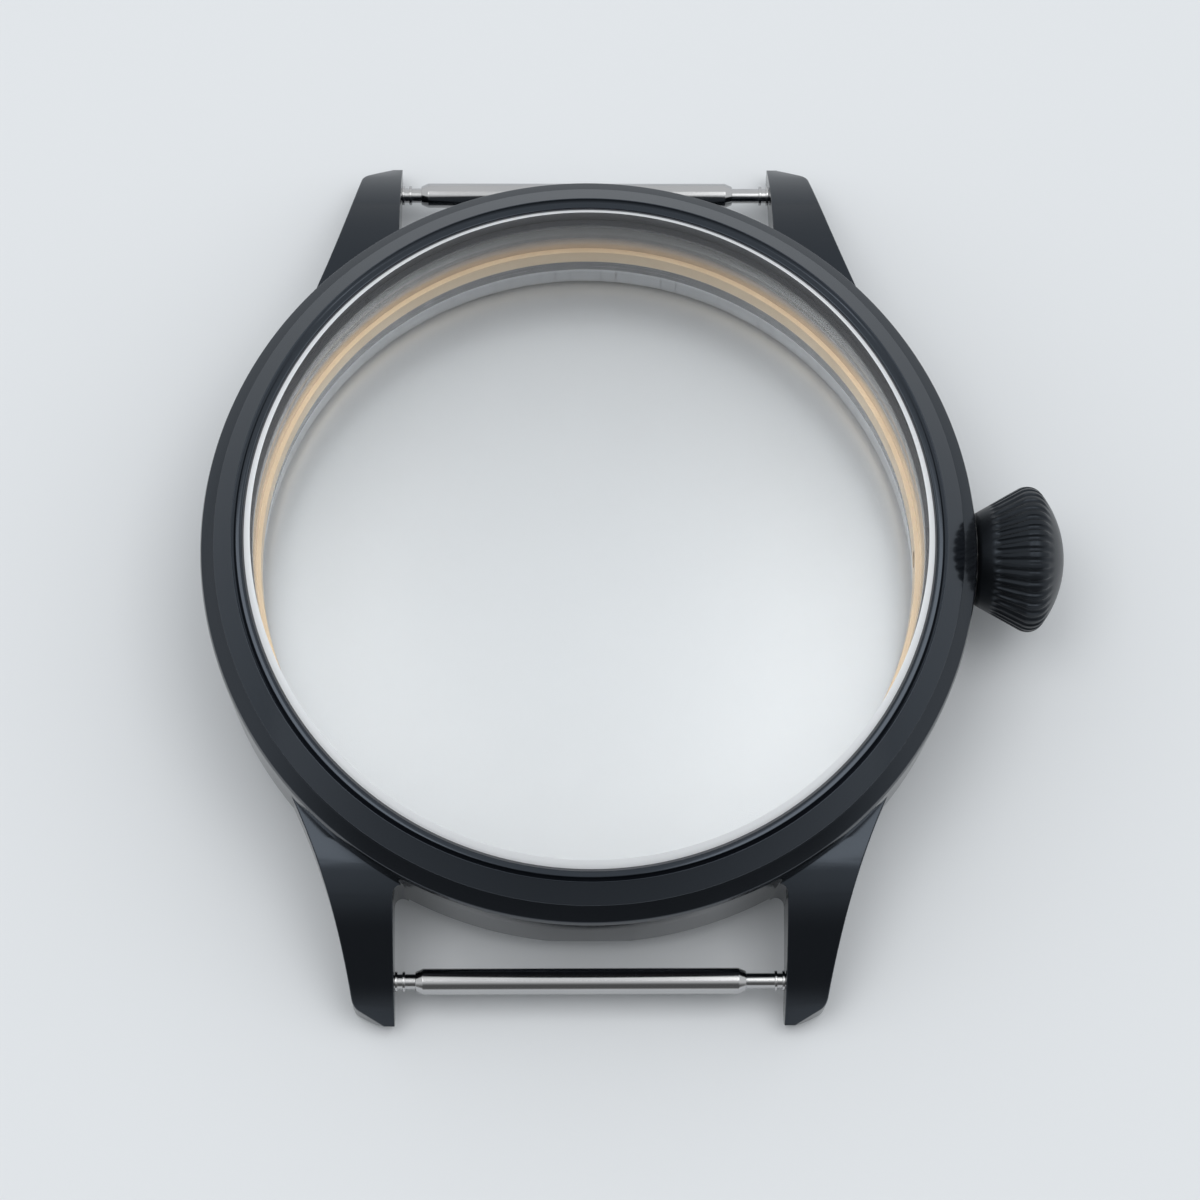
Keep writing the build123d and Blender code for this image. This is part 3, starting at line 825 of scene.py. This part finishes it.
@dataclass
class Lug:
    """One lug, at two o'clock, rounded along its edges. The others are its mirror images."""

    tip_y: float                                # the farthest point
    wall_r: float                               # the wall that it grows from
    inner_x: float                              # its inner face
    foot_z: float                               # its lowest point
    start_y: float = 14.0 * MM                  # where it starts, inside the middle
    root_in: float = 5.20 * MM                  # where its lines start, in from the wall
    root_z: float = 0.40 * MM
    under_z: float = -3.45 * MM
    bend: Point = (0.50 * MM, -0.10 * MM)       # out from the wall, and height
    tip_z: float = -5.20 * MM
    nose: Point = (0.20 * MM, 0.75 * MM)        # back from the tip, and down
    foot_back: float = 0.90 * MM
    belly: Point = (1.10 * MM, -4.10 * MM)      # out from the wall, and height
    tip_thick: float = 0.60 * MM
    slant: Point = (1.95 * MM, 0.70 * MM)       # thickness, and back from the tip
    turn: Point = (2.30 * MM, 0.88 * MM)
    corner: Point = (2.38 * MM, 1.25 * MM)
    flank: Point = (3.30 * MM, 1.20 * MM)       # thickness, and in from the wall
    end_angle: float = 36.0                     # degrees
    end_inset: float = 0.30 * MM
    edge_round: float = 0.09 * MM
    web: float = 0.80 * MM                      # how far its root reaches over the strap's gap
    web_y: float = 19.55 * MM
    core_in: float = 0.65 * MM                  # its inner end, in from the wall
    core: Point = (-9.0 * MM, 3.0 * MM)         # heights of the tool that cuts that end
    body_steps: int = 60
    nose_steps: int = 24
    tip_cut: float = 0.002 * MM                 # its last section lies this far behind the tip

    def build(self) -> Piece:
        """Lofts the lug through its cross-sections.

        Returns:
            The lug, cut back behind the wall.
        """
        top, under, flank = self._top(), self._under(), self._flank()
        rings = []
        for y in self._stations():
            left = self.inner_x - (self.web if y < self.web_y else 0.0)
            right, low, high = height_on(flank, y), height_on(under, y), height_on(top, y)
            edge = self.edge_round
            section = [(left, low, edge), (right, low, edge), (right, high, edge), (left, high, edge)]
            rings.append([(x, y, z) for x, z in rounded(section)])
        count = len(rings[0])
        verts = [spot for ring in rings for spot in ring]
        faces = [tuple(range(count)), tuple(range(len(verts) - count, len(verts)))]
        for k in range(len(rings) - 1):
            for i in range(count):
                j = (i + 1) % count
                faces.append((k * count + i, k * count + j, (k + 1) * count + j, (k + 1) * count + i))
        lug = piece_from("lug", verts, faces)
        core_r = self.wall_r - self.core_in
        low, high = self.core
        core = [(0.0, low), (core_r, low), (core_r, high), (0.0, high)]
        carve(lug, Cut.TAKE, turned("lug_core", core))
        return lug

    def _stations(self) -> list[float]:
        """Gives the places of the cross-sections, closer together near the tip.

        Returns:
            Their y, rising.
        """
        start, foot = self.start_y, self.tip_y - self.foot_back
        body = [start + (foot - start) * k / self.body_steps for k in range(self.body_steps)]
        body += [self.web_y - WELD, self.web_y]
        nose = [
            foot + (self.tip_y - foot) * sin(pi / 2 * k / self.nose_steps) for k in range(self.nose_steps)
        ]
        return sorted(body + nose + [self.tip_y - self.tip_cut])

    def _top(self) -> list[Point]:
        """Gives the line of the top, by y."""
        root = (self.wall_r - self.root_in, self.root_z)
        return curve(root, (self.wall_r + self.bend[0], self.bend[1]), (self.tip_y, self.tip_z))

    def _under(self) -> list[Point]:
        """Gives the line of the underside, by y.

        Returns:
            Its points, from the root to the tip.
        """
        root = (self.wall_r - self.root_in, self.under_z)
        foot = (self.tip_y - self.foot_back, self.foot_z)
        nose = (self.tip_y - self.nose[0], self.tip_z - self.nose[1])
        middle = ((self.tip_y + foot[0]) / 2, nose[1] / 4 + self.foot_z * 3 / 4)
        line = curve(root, (self.wall_r + self.belly[0], self.belly[1]), foot)
        return line + arc_through(foot, middle, nose)[1:] + [(self.tip_y, self.tip_z)]

    def _flank(self) -> list[Point]:
        """Gives the line of the outer flank as seen from above, by y.

        Returns:
            Its points, from the wall to the tip.
        """
        slant = (self.tip_y - self.slant[1], self.inner_x + self.slant[0])
        turn = (self.tip_y - self.turn[1], self.inner_x + self.turn[0])
        corner = (self.tip_y - self.corner[1], self.inner_x + self.corner[0])
        flank = (self.wall_r - self.flank[1], self.inner_x + self.flank[0])
        end_r, angle = self.wall_r - self.end_inset, radians(self.end_angle)
        line = arc_through((end_r * sin(angle), end_r * cos(angle)), flank, corner)
        tip = (self.tip_y, self.inner_x + self.tip_thick)
        return line + curve(corner, turn, slant, BEND_STEPS)[1:] + [tip]


@dataclass
class CaseMiddle:
    """The turned middle with its four lugs."""

    rim_r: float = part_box("mid_case")[1].x
    top_z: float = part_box("mid_case")[1].z
    tip_y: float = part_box("mid_case")[1].y
    foot_z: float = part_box("mid_case")[0].z
    opening_r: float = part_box("bezel")[1].x - OPENING_IN

    # Corners of the turned outside: in from the rim, down from the top, and rounding
    seat_outer: Corner = (0.89 * MM, 0.21 * MM, 0.03 * MM)
    step: Corner = (0.79 * MM, 0.31 * MM, 0.05 * MM)
    shoulder: Corner = (0.08 * MM, 0.94 * MM, 0.15 * MM)
    rim_top: Corner = (0.0, 1.30 * MM, 0.20 * MM)
    rim_low: Corner = (0.0, 2.53 * MM, 0.08 * MM)
    wall_top: Corner = (0.12 * MM, 3.23 * MM, 0.15 * MM)

    wall_low: float = -3.45 * MM
    wall_chamfer: float = 0.25 * MM
    wall_round: float = 0.08 * MM
    thread_r: float = 20.30 * MM
    thread_round: float = 0.05 * MM
    pocket_r: float = 19.80 * MM
    pocket_low: float = -1.55 * MM
    ledge_round: float = 0.01 * MM
    recess_r: float = 19.95 * MM
    recess_low: float = 2.00 * MM
    recess_round: float = 0.02 * MM
    half_gap: float = HALF_GAP
    gap_inset: float = 0.06 * MM
    gap_flat: float = 0.18 * MM
    gap_top: float = 0.42 * MM
    gap_round: float = 0.45 * MM
    hair: float = 0.005 * MM                    # keeps the gap's tool off the lugs' inner faces
    bar_y: float = BAR_Y
    bar_z: float = BAR_Z
    pin_hole_r: float = 0.45 * MM
    pin_hole_depth: float = 1.20 * MM
    tube_r: float = 1.30 * MM
    crown_z: float = STEM_Z
    inner_wall: Point = (0.1 * MM, -0.1 * MM)   # its finish reaches this far past the wall, and down to here

    def build(self) -> list[Piece]:
        """Turns the middle, joins the lugs and cuts the strap gaps and the holes.

        Returns:
            The finished middle.
        """
        wall_r = self.rim_r - self.wall_top[0]
        middle = turned("case_middle", rounded(self._outline(wall_r)))
        lug = Lug(self.tip_y, wall_r, self.half_gap, self.foot_z).build()
        others = [mirrored(lug, "lug_copy", side) for side in ((-1, 1, 1), (1, -1, 1), (-1, -1, 1))]
        carve(middle, Cut.JOIN, lug, *others)
        upper = prism("gap_tool", self._gap_plan(wall_r), self.foot_z - PAST, self.gap_top)
        lower = mirrored(upper, "gap_tool", (1, -1, 1))
        carve(middle, Cut.TAKE, upper, lower)
        reach = self.half_gap + self.pin_hole_depth
        drills = [
            drill(self.pin_hole_r, -reach, reach, (0, side * self.bar_y, self.bar_z)) for side in (1, -1)
        ]
        drills.append(drill(self.tube_r, self.thread_r - PAST, self.rim_r + PAST, (0, 0, self.crown_z)))
        carve(middle, Cut.TAKE, *drills)
        smooth(middle)
        past, low = self.inner_wall
        finish_ring(middle, BLACK_COAT.material(), WALL_WITH_PAINTED_GILT_REFLECTION, self.opening_r + past, low)
        return [fitted(middle, "case", "case_black", "mid_case")]

    def _outline(self, wall_r: float) -> list[Corner]:
        """Gives the outline of the turned middle, from the recess outwards.

        Args:
            wall_r: Radius of the wall under the rim.

        Returns:
            Its corners with their roundings.
        """
        outside = (self.seat_outer, self.step, self.shoulder, self.rim_top, self.rim_low, self.wall_top)
        return [
            (self.recess_r, self.top_z - self.seat_outer[1], self.recess_round),
            *inset(self.rim_r, self.top_z, *outside),
            (wall_r, self.wall_low + self.wall_chamfer, self.wall_round),
            (wall_r - self.wall_chamfer, self.wall_low, self.wall_round),
            (self.thread_r, self.wall_low, self.thread_round),
            (self.thread_r, self.pocket_low, 0),
            (self.pocket_r, self.pocket_low, 0),
            (self.pocket_r, 0, 0),
            (self.opening_r, 0, self.ledge_round),
            (self.opening_r, self.recess_low, 0),
            (self.recess_r, self.recess_low, 0),
        ]

    def _gap_plan(self, wall_r: float) -> list[Point]:
        """Gives the plan of the tool that clears the strap's gap at twelve o'clock.

        Args:
            wall_r: Radius of the wall under the rim.

        Returns:
            Its points, in order.
        """
        half, radius = self.half_gap - self.hair, self.gap_round
        kept_r, flat_y = wall_r - self.gap_inset, wall_r - self.gap_flat
        round_x = half - radius
        round_y = sqrt((kept_r + radius) ** 2 - round_x**2)
        last = atan2(-round_y, -round_x)
        fillet = [
            (round_x + radius * cos(last * k / BEND_STEPS), round_y + radius * sin(last * k / BEND_STEPS))
            for k in range(BEND_STEPS + 1)
        ]
        first, flat = atan2(fillet[-1][1], fillet[-1][0]), asin(flat_y / kept_r)
        turns = [first + (flat - first) * k / CURVE_STEPS for k in range(1, CURVE_STEPS + 1)]
        wall = [(kept_r * cos(a), kept_r * sin(a)) for a in turns]
        side = [(half, self.tip_y + PAST)] + fillet + wall
        return side + [(-x, y) for x, y in reversed(side)]


@dataclass
class FrontRing:
    """The bezel with its lip and groove, and the front glass with its polished bevel."""

    edge_r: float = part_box("bezel")[1].x
    lip_z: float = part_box("bezel")[1].z
    skirt_z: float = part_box("bezel")[0].z
    glass_r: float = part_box("crystal")[1].x
    glass_top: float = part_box("crystal")[1].z
    glass_low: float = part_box("crystal")[0].z

    # Corners of the bezel: in from the edge, down from the lip, and rounding
    lip_inner: Corner = (1.66 * MM, 0.0, 0.06 * MM)
    lip_outer: Corner = (1.32 * MM, 0.0, 0.04 * MM)
    groove_low: Corner = (1.32 * MM, 0.16 * MM, 0.0)
    groove_high: Corner = (1.13 * MM, 0.10 * MM, 0.0)
    crest: Corner = (1.06 * MM, 0.03 * MM, 0.08 * MM)
    slope_low: Corner = (0.0, 1.19 * MM, 0.06 * MM)
    edge_low: Corner = (0.0, 1.29 * MM, 0.02 * MM)
    edge_under: Corner = (0.06 * MM, 1.35 * MM, 0.0)
    skirt_root: Corner = (1.38 * MM, 1.35 * MM, 0.0)
    shelf_inner: Corner = (OPENING_IN, 1.66 * MM, 0.03 * MM)
    shelf_outer: Corner = (1.66 * MM, 1.66 * MM, 0.0)

    skirt_round: float = 0.03 * MM
    inner_wall: float = 0.1 * MM                # its finish reaches this far past the opening
    bevel: Point = (0.38 * MM, 0.57 * MM)       # in from the glass's edge, and down from its top
    bevel_round: float = 0.02 * MM
    glass_round: float = 0.05 * MM
    # the faces of the polished bevel that get the white painted highlight
    painted_light_facing: Point = (0.2, 0.9)            # the bevel's faces have a normal whose Z is between these

    def build(self) -> list[Piece]:
        """Turns the bezel and the front glass.

        Returns:
            The two finished pieces.
        """
        return [
            fitted(self._bezel(), "case", "case_black", "bezel"),
            fitted(self._glass(), "case", "clear_glass", "crystal"),
        ]

    def _bezel(self) -> Piece:
        """Turns the bezel.

        Returns:
            The bezel with its finishes.
        """
        upper = (
            self.lip_inner, self.lip_outer, self.groove_low, self.groove_high, self.crest,
            self.slope_low, self.edge_low, self.edge_under, self.skirt_root,
        )
        skirt_r, opening = self.edge_r - self.skirt_root[0], self.edge_r - self.shelf_inner[0]
        outline = [
            *inset(self.edge_r, self.lip_z, *upper),
            (skirt_r, self.skirt_z, self.skirt_round),
            (opening, self.skirt_z, self.skirt_round),
            *inset(self.edge_r, self.lip_z, self.shelf_inner, self.shelf_outer),
        ]
        bezel = turned("bezel_ring", rounded(outline))
        smooth(bezel)
        finish_ring(bezel, BLACK_BEZEL.material(), WALL_WITH_PAINTED_GILT_REFLECTION, opening + self.inner_wall, self.skirt_z)
        return bezel

    def _glass(self) -> Piece:
        """Turns the front glass, with the bevel painted white to stand for the light seen through it.

        Returns:
            The glass with its finishes.
        """
        outline = [
            (0.0, self.glass_top, 0),
            (self.glass_r - self.bevel[0], self.glass_top, self.bevel_round),
            (self.glass_r, self.glass_top - self.bevel[1], self.bevel_round),
            (self.glass_r, self.glass_low, self.glass_round),
            (0.0, self.glass_low, 0),
        ]
        glass = turned("front_glass", rounded(outline))
        smooth(glass)
        glass.data.materials.append(FRONT_GLASS.material())
        glass.data.materials.append(BEVEL_PAINTED_LIGHT.material())
        least, most = self.painted_light_facing
        # the bevel's faces take the white finish, a painted highlight for the light seen through the glass
        for face in glass.data.polygons:
            if least < face.normal.z < most:
                face.material_index = 1
        return glass


@dataclass
class SeatRing:
    """The gilt ring that a movement sits in, with the hole for the winding stem."""

    outer_r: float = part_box("movement_ring")[1].x
    low_z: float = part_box("movement_ring")[0].z
    width: float = 1.10 * MM
    inner_round: float = 0.04 * MM
    outer_round: float = 0.02 * MM
    stem_z: float = STEM_Z
    stem_hole_r: float = 0.50 * MM

    def build(self) -> list[Piece]:
        """Turns the ring and drills it.

        Returns:
            The finished ring.
        """
        bore = self.outer_r - self.width
        outline = [
            (bore, 0.0, self.inner_round), (self.outer_r, 0.0, self.outer_round),
            (self.outer_r, self.low_z, self.outer_round), (bore, self.low_z, self.inner_round),
        ]
        ring = turned("seat_ring", rounded(outline))
        carve(ring, Cut.TAKE, drill(self.stem_hole_r, bore - PAST, self.outer_r + PAST, (0, 0, self.stem_z)))
        smooth(ring)
        ring.data.materials.clear()
        ring.data.materials.append(GILT.material())
        return [fitted(ring, "case", "ring_gilt", "movement_ring")]


@dataclass
class ScrewedBack:
    """The screwed back with its wrench notches, and the rear glass."""

    edge_r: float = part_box("case_back")[1].x
    table_z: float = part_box("case_back")[0].z
    top_z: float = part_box("case_back")[1].z
    glass_r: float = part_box("back_window")[1].x
    glass_top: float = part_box("back_window")[1].z
    glass_low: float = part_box("back_window")[0].z
    flange_rise: float = 3.05 * MM              # its top, above the table
    flange_thick: float = 1.10 * MM
    flange_rounds: Point = (0.03 * MM, 0.15 * MM)       # of its top and of its underside
    seal: Point = (0.58 * MM, 0.14 * MM)        # walls of the seal's groove, in from the edge
    seal_depth: float = 0.40 * MM
    foot_in: float = 0.50 * MM
    foot_round: float = 0.12 * MM
    table_width: float = 0.90 * MM
    table_round: float = 0.10 * MM
    slope_rise: float = 0.35 * MM               # from the table up to the pocket of the glass
    slope_round: float = 0.05 * MM
    pocket_in: float = 1.65 * MM
    thread_in: float = 0.73 * MM
    thread_round: float = 0.10 * MM
    lip_r: float = 18.85 * MM
    lip_thick: float = 1.60 * MM
    lip_rounds: Point = (0.03 * MM, 0.02 * MM)          # of its top and of its underside
    inner_wall: float = 0.1 * MM                # its finish reaches this far past the lip
    glass_rounds: Point = (0.05 * MM, 0.15 * MM)
    notches: int = 6
    notch_size: Place = (1.70 * MM, 2.20 * MM, 1.20 * MM)       # length, width and depth

    def build(self) -> list[Piece]:
        """Makes the back and the rear glass.

        Returns:
            The two finished pieces.
        """
        return [
            fitted(self._back(), "back", "back_steel", "case_back"),
            fitted(self._glass(), "back", "clear_glass", "back_window"),
        ]

    def _back(self) -> Piece:
        """Turns the back and cuts the ring of notches.

        Returns:
            The back with its finishes.
        """
        edge, table, top = self.edge_r, self.table_z, self.top_z
        flange, groove = table + self.flange_rise, table + self.flange_rise - self.seal_depth
        foot, lip = edge - self.foot_in, self.lip_r
        pocket, thread = edge - self.pocket_in, edge - self.thread_in
        seal_inner, seal_outer = edge - self.seal[0], edge - self.seal[1]
        outline = [
            (lip, top, self.lip_rounds[0]),
            (thread, top, self.thread_round),
            (thread, flange, 0),
            (seal_inner, flange, 0),
            (seal_inner, groove, 0),
            (seal_outer, groove, 0),
            (seal_outer, flange, 0),
            (edge, flange, self.flange_rounds[0]),
            (edge, flange - self.flange_thick, self.flange_rounds[1]),
            (foot, table, self.foot_round),
            (foot - self.table_width, table, self.table_round),
            (pocket, table + self.slope_rise, self.slope_round),
            (pocket, top - self.lip_thick, 0),
            (lip, top - self.lip_thick, self.lip_rounds[1]),
        ]
        back = turned("screwed_back", rounded(outline))
        coat = BLACK_BACK.material()
        self._notch(back, foot, coat)
        smooth(back)
        finish_ring(back, coat, GREY_BORE, lip + self.inner_wall, table)
        return back

    def _notch(self, back: Piece, foot_r: float, coat: bpy.types.Material) -> None:
        """Cuts the notches with a node tree.

        Args:
            back: The turned back.
            foot_r: Radius of the ring's outer edge, where the notches lie.
            coat: The back's material.
        """
        length, width, depth = self.notch_size
        rule = Rule("notch_ring", {
            "Count": ("NodeSocketInt", self.notches),
            "Radius": ("NodeSocketFloat", foot_r + length / 4),
            "Height": ("NodeSocketFloat", self.table_z),
            "Notch": ("NodeSocketVector", (length, width, 2 * depth)),
            "Finish": ("NodeSocketMaterial", coat),
        })
        given = rule.given
        ring = rule.add("GeometryNodeMeshCircle", {"Vertices": given["Count"], "Radius": given["Radius"]})
        low = rule.add("ShaderNodeCombineXYZ", {"Z": given["Height"]}).outputs[0]
        placed = rule.add("GeometryNodeTransform", {"Geometry": ring.outputs["Mesh"], "Translation": low})
        spot = rule.add("GeometryNodeInputPosition").outputs[0]
        facing = rule.add("FunctionNodeAlignEulerToVector", {"Vector": spot}, axis="X", pivot_axis="Z")
        cutter = rule.add("GeometryNodeMeshCube", {"Size": given["Notch"]}).outputs["Mesh"]
        copies = rule.add(
            "GeometryNodeInstanceOnPoints",
            {"Points": placed.outputs[0], "Instance": cutter, "Rotation": facing.outputs[0]},
        )
        real = rule.add("GeometryNodeRealizeInstances", {"Geometry": copies.outputs[0]})
        cut = rule.add("GeometryNodeMeshBoolean", {"Mesh 1": given["Geometry"]}, operation="DIFFERENCE")
        rule.tree.links.new(real.outputs[0], cut.inputs["Mesh 2"])
        rule.run(back, cut.outputs[0])

    def _glass(self) -> Piece:
        """Turns the rear glass.

        Returns:
            The glass with its finish.
        """
        outline = [
            (0.0, self.glass_top, 0),
            (self.glass_r, self.glass_top, self.glass_rounds[0]),
            (self.glass_r, self.glass_low, self.glass_rounds[1]),
            (0.0, self.glass_low, 0),
        ]
        glass = turned("rear_glass", rounded(outline))
        smooth(glass)
        glass.data.materials.append(REAR_GLASS.material())
        return glass


@dataclass
class OnionCrown:
    """The fluted onion crown on its axis at three o'clock."""

    base_x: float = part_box("crown")[0].x
    end_x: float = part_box("crown")[1].x
    axis_z: float = STEM_Z
    base_r: float = 2.58 * MM
    base_round: float = 0.12 * MM
    cone: Point = (2.65 * MM, 4.07 * MM)        # along from the base, and radius
    crest: Point = (3.20 * MM, 4.17 * MM)
    brow_r: float = 3.72 * MM                   # where the crest ends and the dome starts
    dome_r: float = 6.20 * MM
    cavity: Point = (2.85 * MM, 1.85 * MM)      # depth and radius
    post_r: float = 0.72 * MM
    post_end: float = 3.85 * MM
    cone_steps: int = 26
    crest_steps: int = 14
    dome_steps: int = 18
    flutes: int = 40
    flute_r: float = 0.21 * MM                  # of the cutter
    flute_lift: float = 0.09 * MM               # its axis lies this far outside the crown
    flute_start: float = 0.80 * MM
    flute_end: float = 4.20 * MM
    fade: float = 0.45 * MM                     # length in which a flute ends
    cavity_clear: float = 0.2 * MM              # the flutes leave what is nearer to the cavity alone
    steps_per_flute: int = 14

    def build(self) -> list[Piece]:
        """Turns the crown and presses the flutes into it.

        Returns:
            The finished crown.
        """
        steps = self.flutes * self.steps_per_flute
        crown = turned("onion_crown", self._outline(), Spin.CROWN, (0, 0, self.axis_z), steps)
        self._flute(crown)
        smooth(crown)
        return [fitted(crown, "crown", "crown_black", "crown")]

    def _outline(self) -> list[Point]:
        """Gives the outline of the crown before it is fluted, from the cavity outwards.

        Returns:
            Points of radius and place along the axis.
        """
        base, cone = self.base_x, (self.cone[1], self.base_x + self.cone[0])
        middle = self.end_x - self.dome_r
        brow = asin(self.brow_r / self.dome_r)
        rise = (self.cone[1] - self.base_r) / self.cone[0]
        shoulder = (self.base_r + rise * self.base_round, base + self.base_round)
        points = [
            (self.post_r, base + self.post_end), (self.post_r, base + self.cavity[0]),
            (self.cavity[1], base + self.cavity[0]), (self.cavity[1], base),
            (self.base_r - self.base_round, base), shoulder,
        ]
        count = self.cone_steps
        points += [
            tuple(start + (end - start) * k / count for start, end in zip(shoulder, cone))
            for k in range(1, count)
        ]
        crest_end = (self.brow_r, middle + self.dome_r * cos(brow))
        points += arc_through(cone, (self.crest[1], base + self.crest[0]), crest_end, self.crest_steps)
        dome = [brow * (1 - k / self.dome_steps) for k in range(1, self.dome_steps + 1)]
        points += [(self.dome_r * sin(a), middle + self.dome_r * cos(a)) for a in dome]
        return [(0.0, base + self.post_end)] + points

    def _flute(self, crown: Piece) -> None:
        """Presses the flutes in with a node tree, by the rule of a round cutter that runs along the crown.

        Args:
            crown: The turned crown.
        """
        rule = Rule("flute_rule", {
            "Count": ("NodeSocketInt", self.flutes),
            "Axis Height": ("NodeSocketFloat", self.axis_z),
            "Cutter": ("NodeSocketFloat", self.flute_r),
            "Lift": ("NodeSocketFloat", self.flute_lift),
            "Start": ("NodeSocketFloat", self.base_x + self.flute_start),
            "End": ("NodeSocketFloat", self.base_x + self.flute_end),
            "Fade": ("NodeSocketFloat", self.fade),
            "Inner": ("NodeSocketFloat", self.cavity[1] + self.cavity_clear),
            "Finish": ("NodeSocketMaterial", BLACK_CROWN.material()),
        })
        given = rule.given
        spot = rule.add("GeometryNodeInputPosition").outputs[0]
        parts = rule.add("ShaderNodeSeparateXYZ", {0: spot}).outputs
        rise = rule.math("SUBTRACT", parts["Z"], given["Axis Height"])
        arm = rule.add("ShaderNodeCombineXYZ", {"Y": parts["Y"], "Z": rise}).outputs[0]
        reach = rule.length(arm)
        pitch = rule.math("DIVIDE", 2 * pi, given["Count"])
        turns = rule.math("DIVIDE", rule.math("ARCTAN2", parts["Y"], rise), pitch)
        off = rule.math("SUBTRACT", turns, rule.math("ROUND", turns))
        across = rule.product(off, pitch, reach)
        cutter = rule.product(given["Cutter"], given["Cutter"])
        left = rule.math("SUBTRACT", cutter, rule.product(across, across))
        depth = rule.math("SUBTRACT", rule.math("SQRT", rule.math("MAXIMUM", left, 0.0)), given["Lift"])
        past_start = rule.math("SUBTRACT", parts["X"], given["Start"])
        before_end = rule.math("SUBTRACT", given["End"], parts["X"])
        runs_in = rule.ramp(past_start, 0.0, given["Fade"])
        runs_out = rule.ramp(before_end, 0.0, given["Fade"])
        outside = rule.math("GREATER_THAN", reach, given["Inner"])
        share = rule.product(runs_in, runs_out, outside, -1.0)
        push = rule.product(rule.math("MAXIMUM", depth, 0.0), share)
        way = rule.add("ShaderNodeVectorMath", {0: arm}, operation="NORMALIZE").outputs["Vector"]
        shift = rule.add("ShaderNodeVectorMath", {0: way, "Scale": push}, operation="SCALE").outputs["Vector"]
        pressed = rule.add("GeometryNodeSetPosition", {"Geometry": given["Geometry"], "Offset": shift})
        rule.run(crown, pressed.outputs[0])


@dataclass
class SpringBar:
    """A spring bar: its tube and the two pins that press into the lugs."""

    name: str
    side: int                                   # 1 at twelve o'clock, -1 at six
    y: float = BAR_Y
    z: float = BAR_Z
    half_gap: float = HALF_GAP
    tube_r: float = 0.73 * MM
    crimp: Point = (0.42 * MM, 0.55 * MM)       # length, and radius of its end face
    crimp_round: float = 0.05 * MM
    tube_round: float = 0.10 * MM
    neck_r: float = 0.43 * MM
    play: float = 0.05 * MM
    bore_r: float = 0.60 * MM
    flange: Point = (0.15 * MM, 0.57 * MM)      # thickness and radius
    flange_gap: float = 0.28 * MM
    pin_round: float = 0.03 * MM
    tip: Point = (0.85 * MM, 0.40 * MM)         # length and radius
    tip_round: float = 0.08 * MM
    head: Point = (0.80 * MM, 0.55 * MM)
    head_gap: float = 0.30 * MM

    @property
    def centre(self) -> Place:
        """Gives a point of the bar's axis."""
        return (0.0, self.side * self.y, self.z)

    def build(self) -> list[Piece]:
        """Builds the tube and both pins.

        Returns:
            The three finished pieces.
        """
        steel = BRIGHT_STEEL.material()
        low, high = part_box(self.name + "_tube")
        made = [(self._tube(low.x, high.x), self.name, "tube")]
        for end, way, word in ((low.x, -1, "left"), (high.x, 1, "right")):
            made.append((self._pin(end, way, word), self.name.replace("_bar", f"_{word}_pin"), f"{word}_pin"))
        for piece, _, _ in made:
            piece.data.materials.append(steel)
        return [fitted(piece, body, "bar_steel", f"{self.name}_{node}") for piece, body, node in made]

    def _tube(self, left: float, right: float) -> Piece:
        """Turns the tube, crimped at both ends.

        Args:
            left: Where it starts.
            right: Where it ends.

        Returns:
            The finished tube.
        """
        length, face_r = self.crimp
        hole = self.neck_r + self.play
        outline = [
            (hole, left, 0),
            (face_r, left, self.crimp_round),
            (self.tube_r, left + length, self.tube_round),
            (self.tube_r, right - length, self.tube_round),
            (face_r, right, self.crimp_round),
            (hole, right, 0),
            (hole, right - length, 0),
            (self.bore_r, right - length, 0),
            (self.bore_r, left + length, 0),
            (hole, left + length, 0),
        ]
        tube = turned(f"{self.name}_sleeve", rounded(outline), Spin.CROWN, self.centre, SMALL_STEPS)
        smooth(tube)
        return tube

    def _pin(self, tube_end: float, way: int, word: str) -> Piece:
        """Turns a pin with its two flanges.

        Args:
            tube_end: Where the tube ends on this side.
            way: -1 to the left, 1 to the right.
            word: The side in its name.

        Returns:
            The finished pin.
        """
        face = way * self.half_gap
        thick, flange_r = self.flange
        neck, tip_r, edge = self.neck_r, self.tip[1], self.pin_round
        shoulder = face - way * self.play
        outer_in = shoulder - way * thick
        inner_out = outer_in - way * self.flange_gap
        inner_in = inner_out - way * thick
        head_out = tube_end - way * (self.crimp[0] + self.head_gap)
        head_in = head_out - way * self.head[0]
        end = face + way * self.tip[0]
        corners = [
            (0.0, head_in, 0), (self.head[1], head_in, edge), (self.head[1], head_out, edge),
            (neck, head_out, 0), (neck, inner_in, 0),
            (flange_r, inner_in, edge), (flange_r, inner_out, edge),
            (neck, inner_out, 0), (neck, outer_in, 0),
            (flange_r, outer_in, edge), (flange_r, shoulder, edge),
            (tip_r, shoulder, 0), (tip_r, end, self.tip_round), (0.0, end, 0),
        ]
        pin = turned(f"{self.name}_{word}_end", rounded(corners), Spin.CROWN, self.centre, SMALL_STEPS)
        smooth(pin)
        return pin


def main() -> None:
    """Builds the studio and the pieces, and reports each piece."""
    logging.basicConfig(level=logging.INFO, format="%(name)s: %(message)s")
    Studio().build()
    bars = SpringBar("upper_bar", 1), SpringBar("lower_bar", -1)
    for assembly in (CaseMiddle(), FrontRing(), SeatRing(), ScrewedBack(), OnionCrown(), *bars):
        for piece in assembly.build():
            log.info("%s: %d faces", piece.name, len(piece.data.polygons))
    for finish, nodes in (
        (DARK_NYLON, ["crystal_gasket"]),
        (PALE_NYLON, ["back_window_gasket"]),
        (BLACK_RUBBER, ["bezel_gasket", "case_back_gasket", "crown_gasket"]),
        (PLAIN_STEEL, ["crown_tube", "crown_post", "crown_washer"]),
        (DRAWN_WIRE, ["upper_bar_spring", "lower_bar_spring"]),
    ):
        for piece in repainted(finish, *nodes):
            log.info("%s: kept as packed", piece.name)


if __name__ == "__main__":
    main()
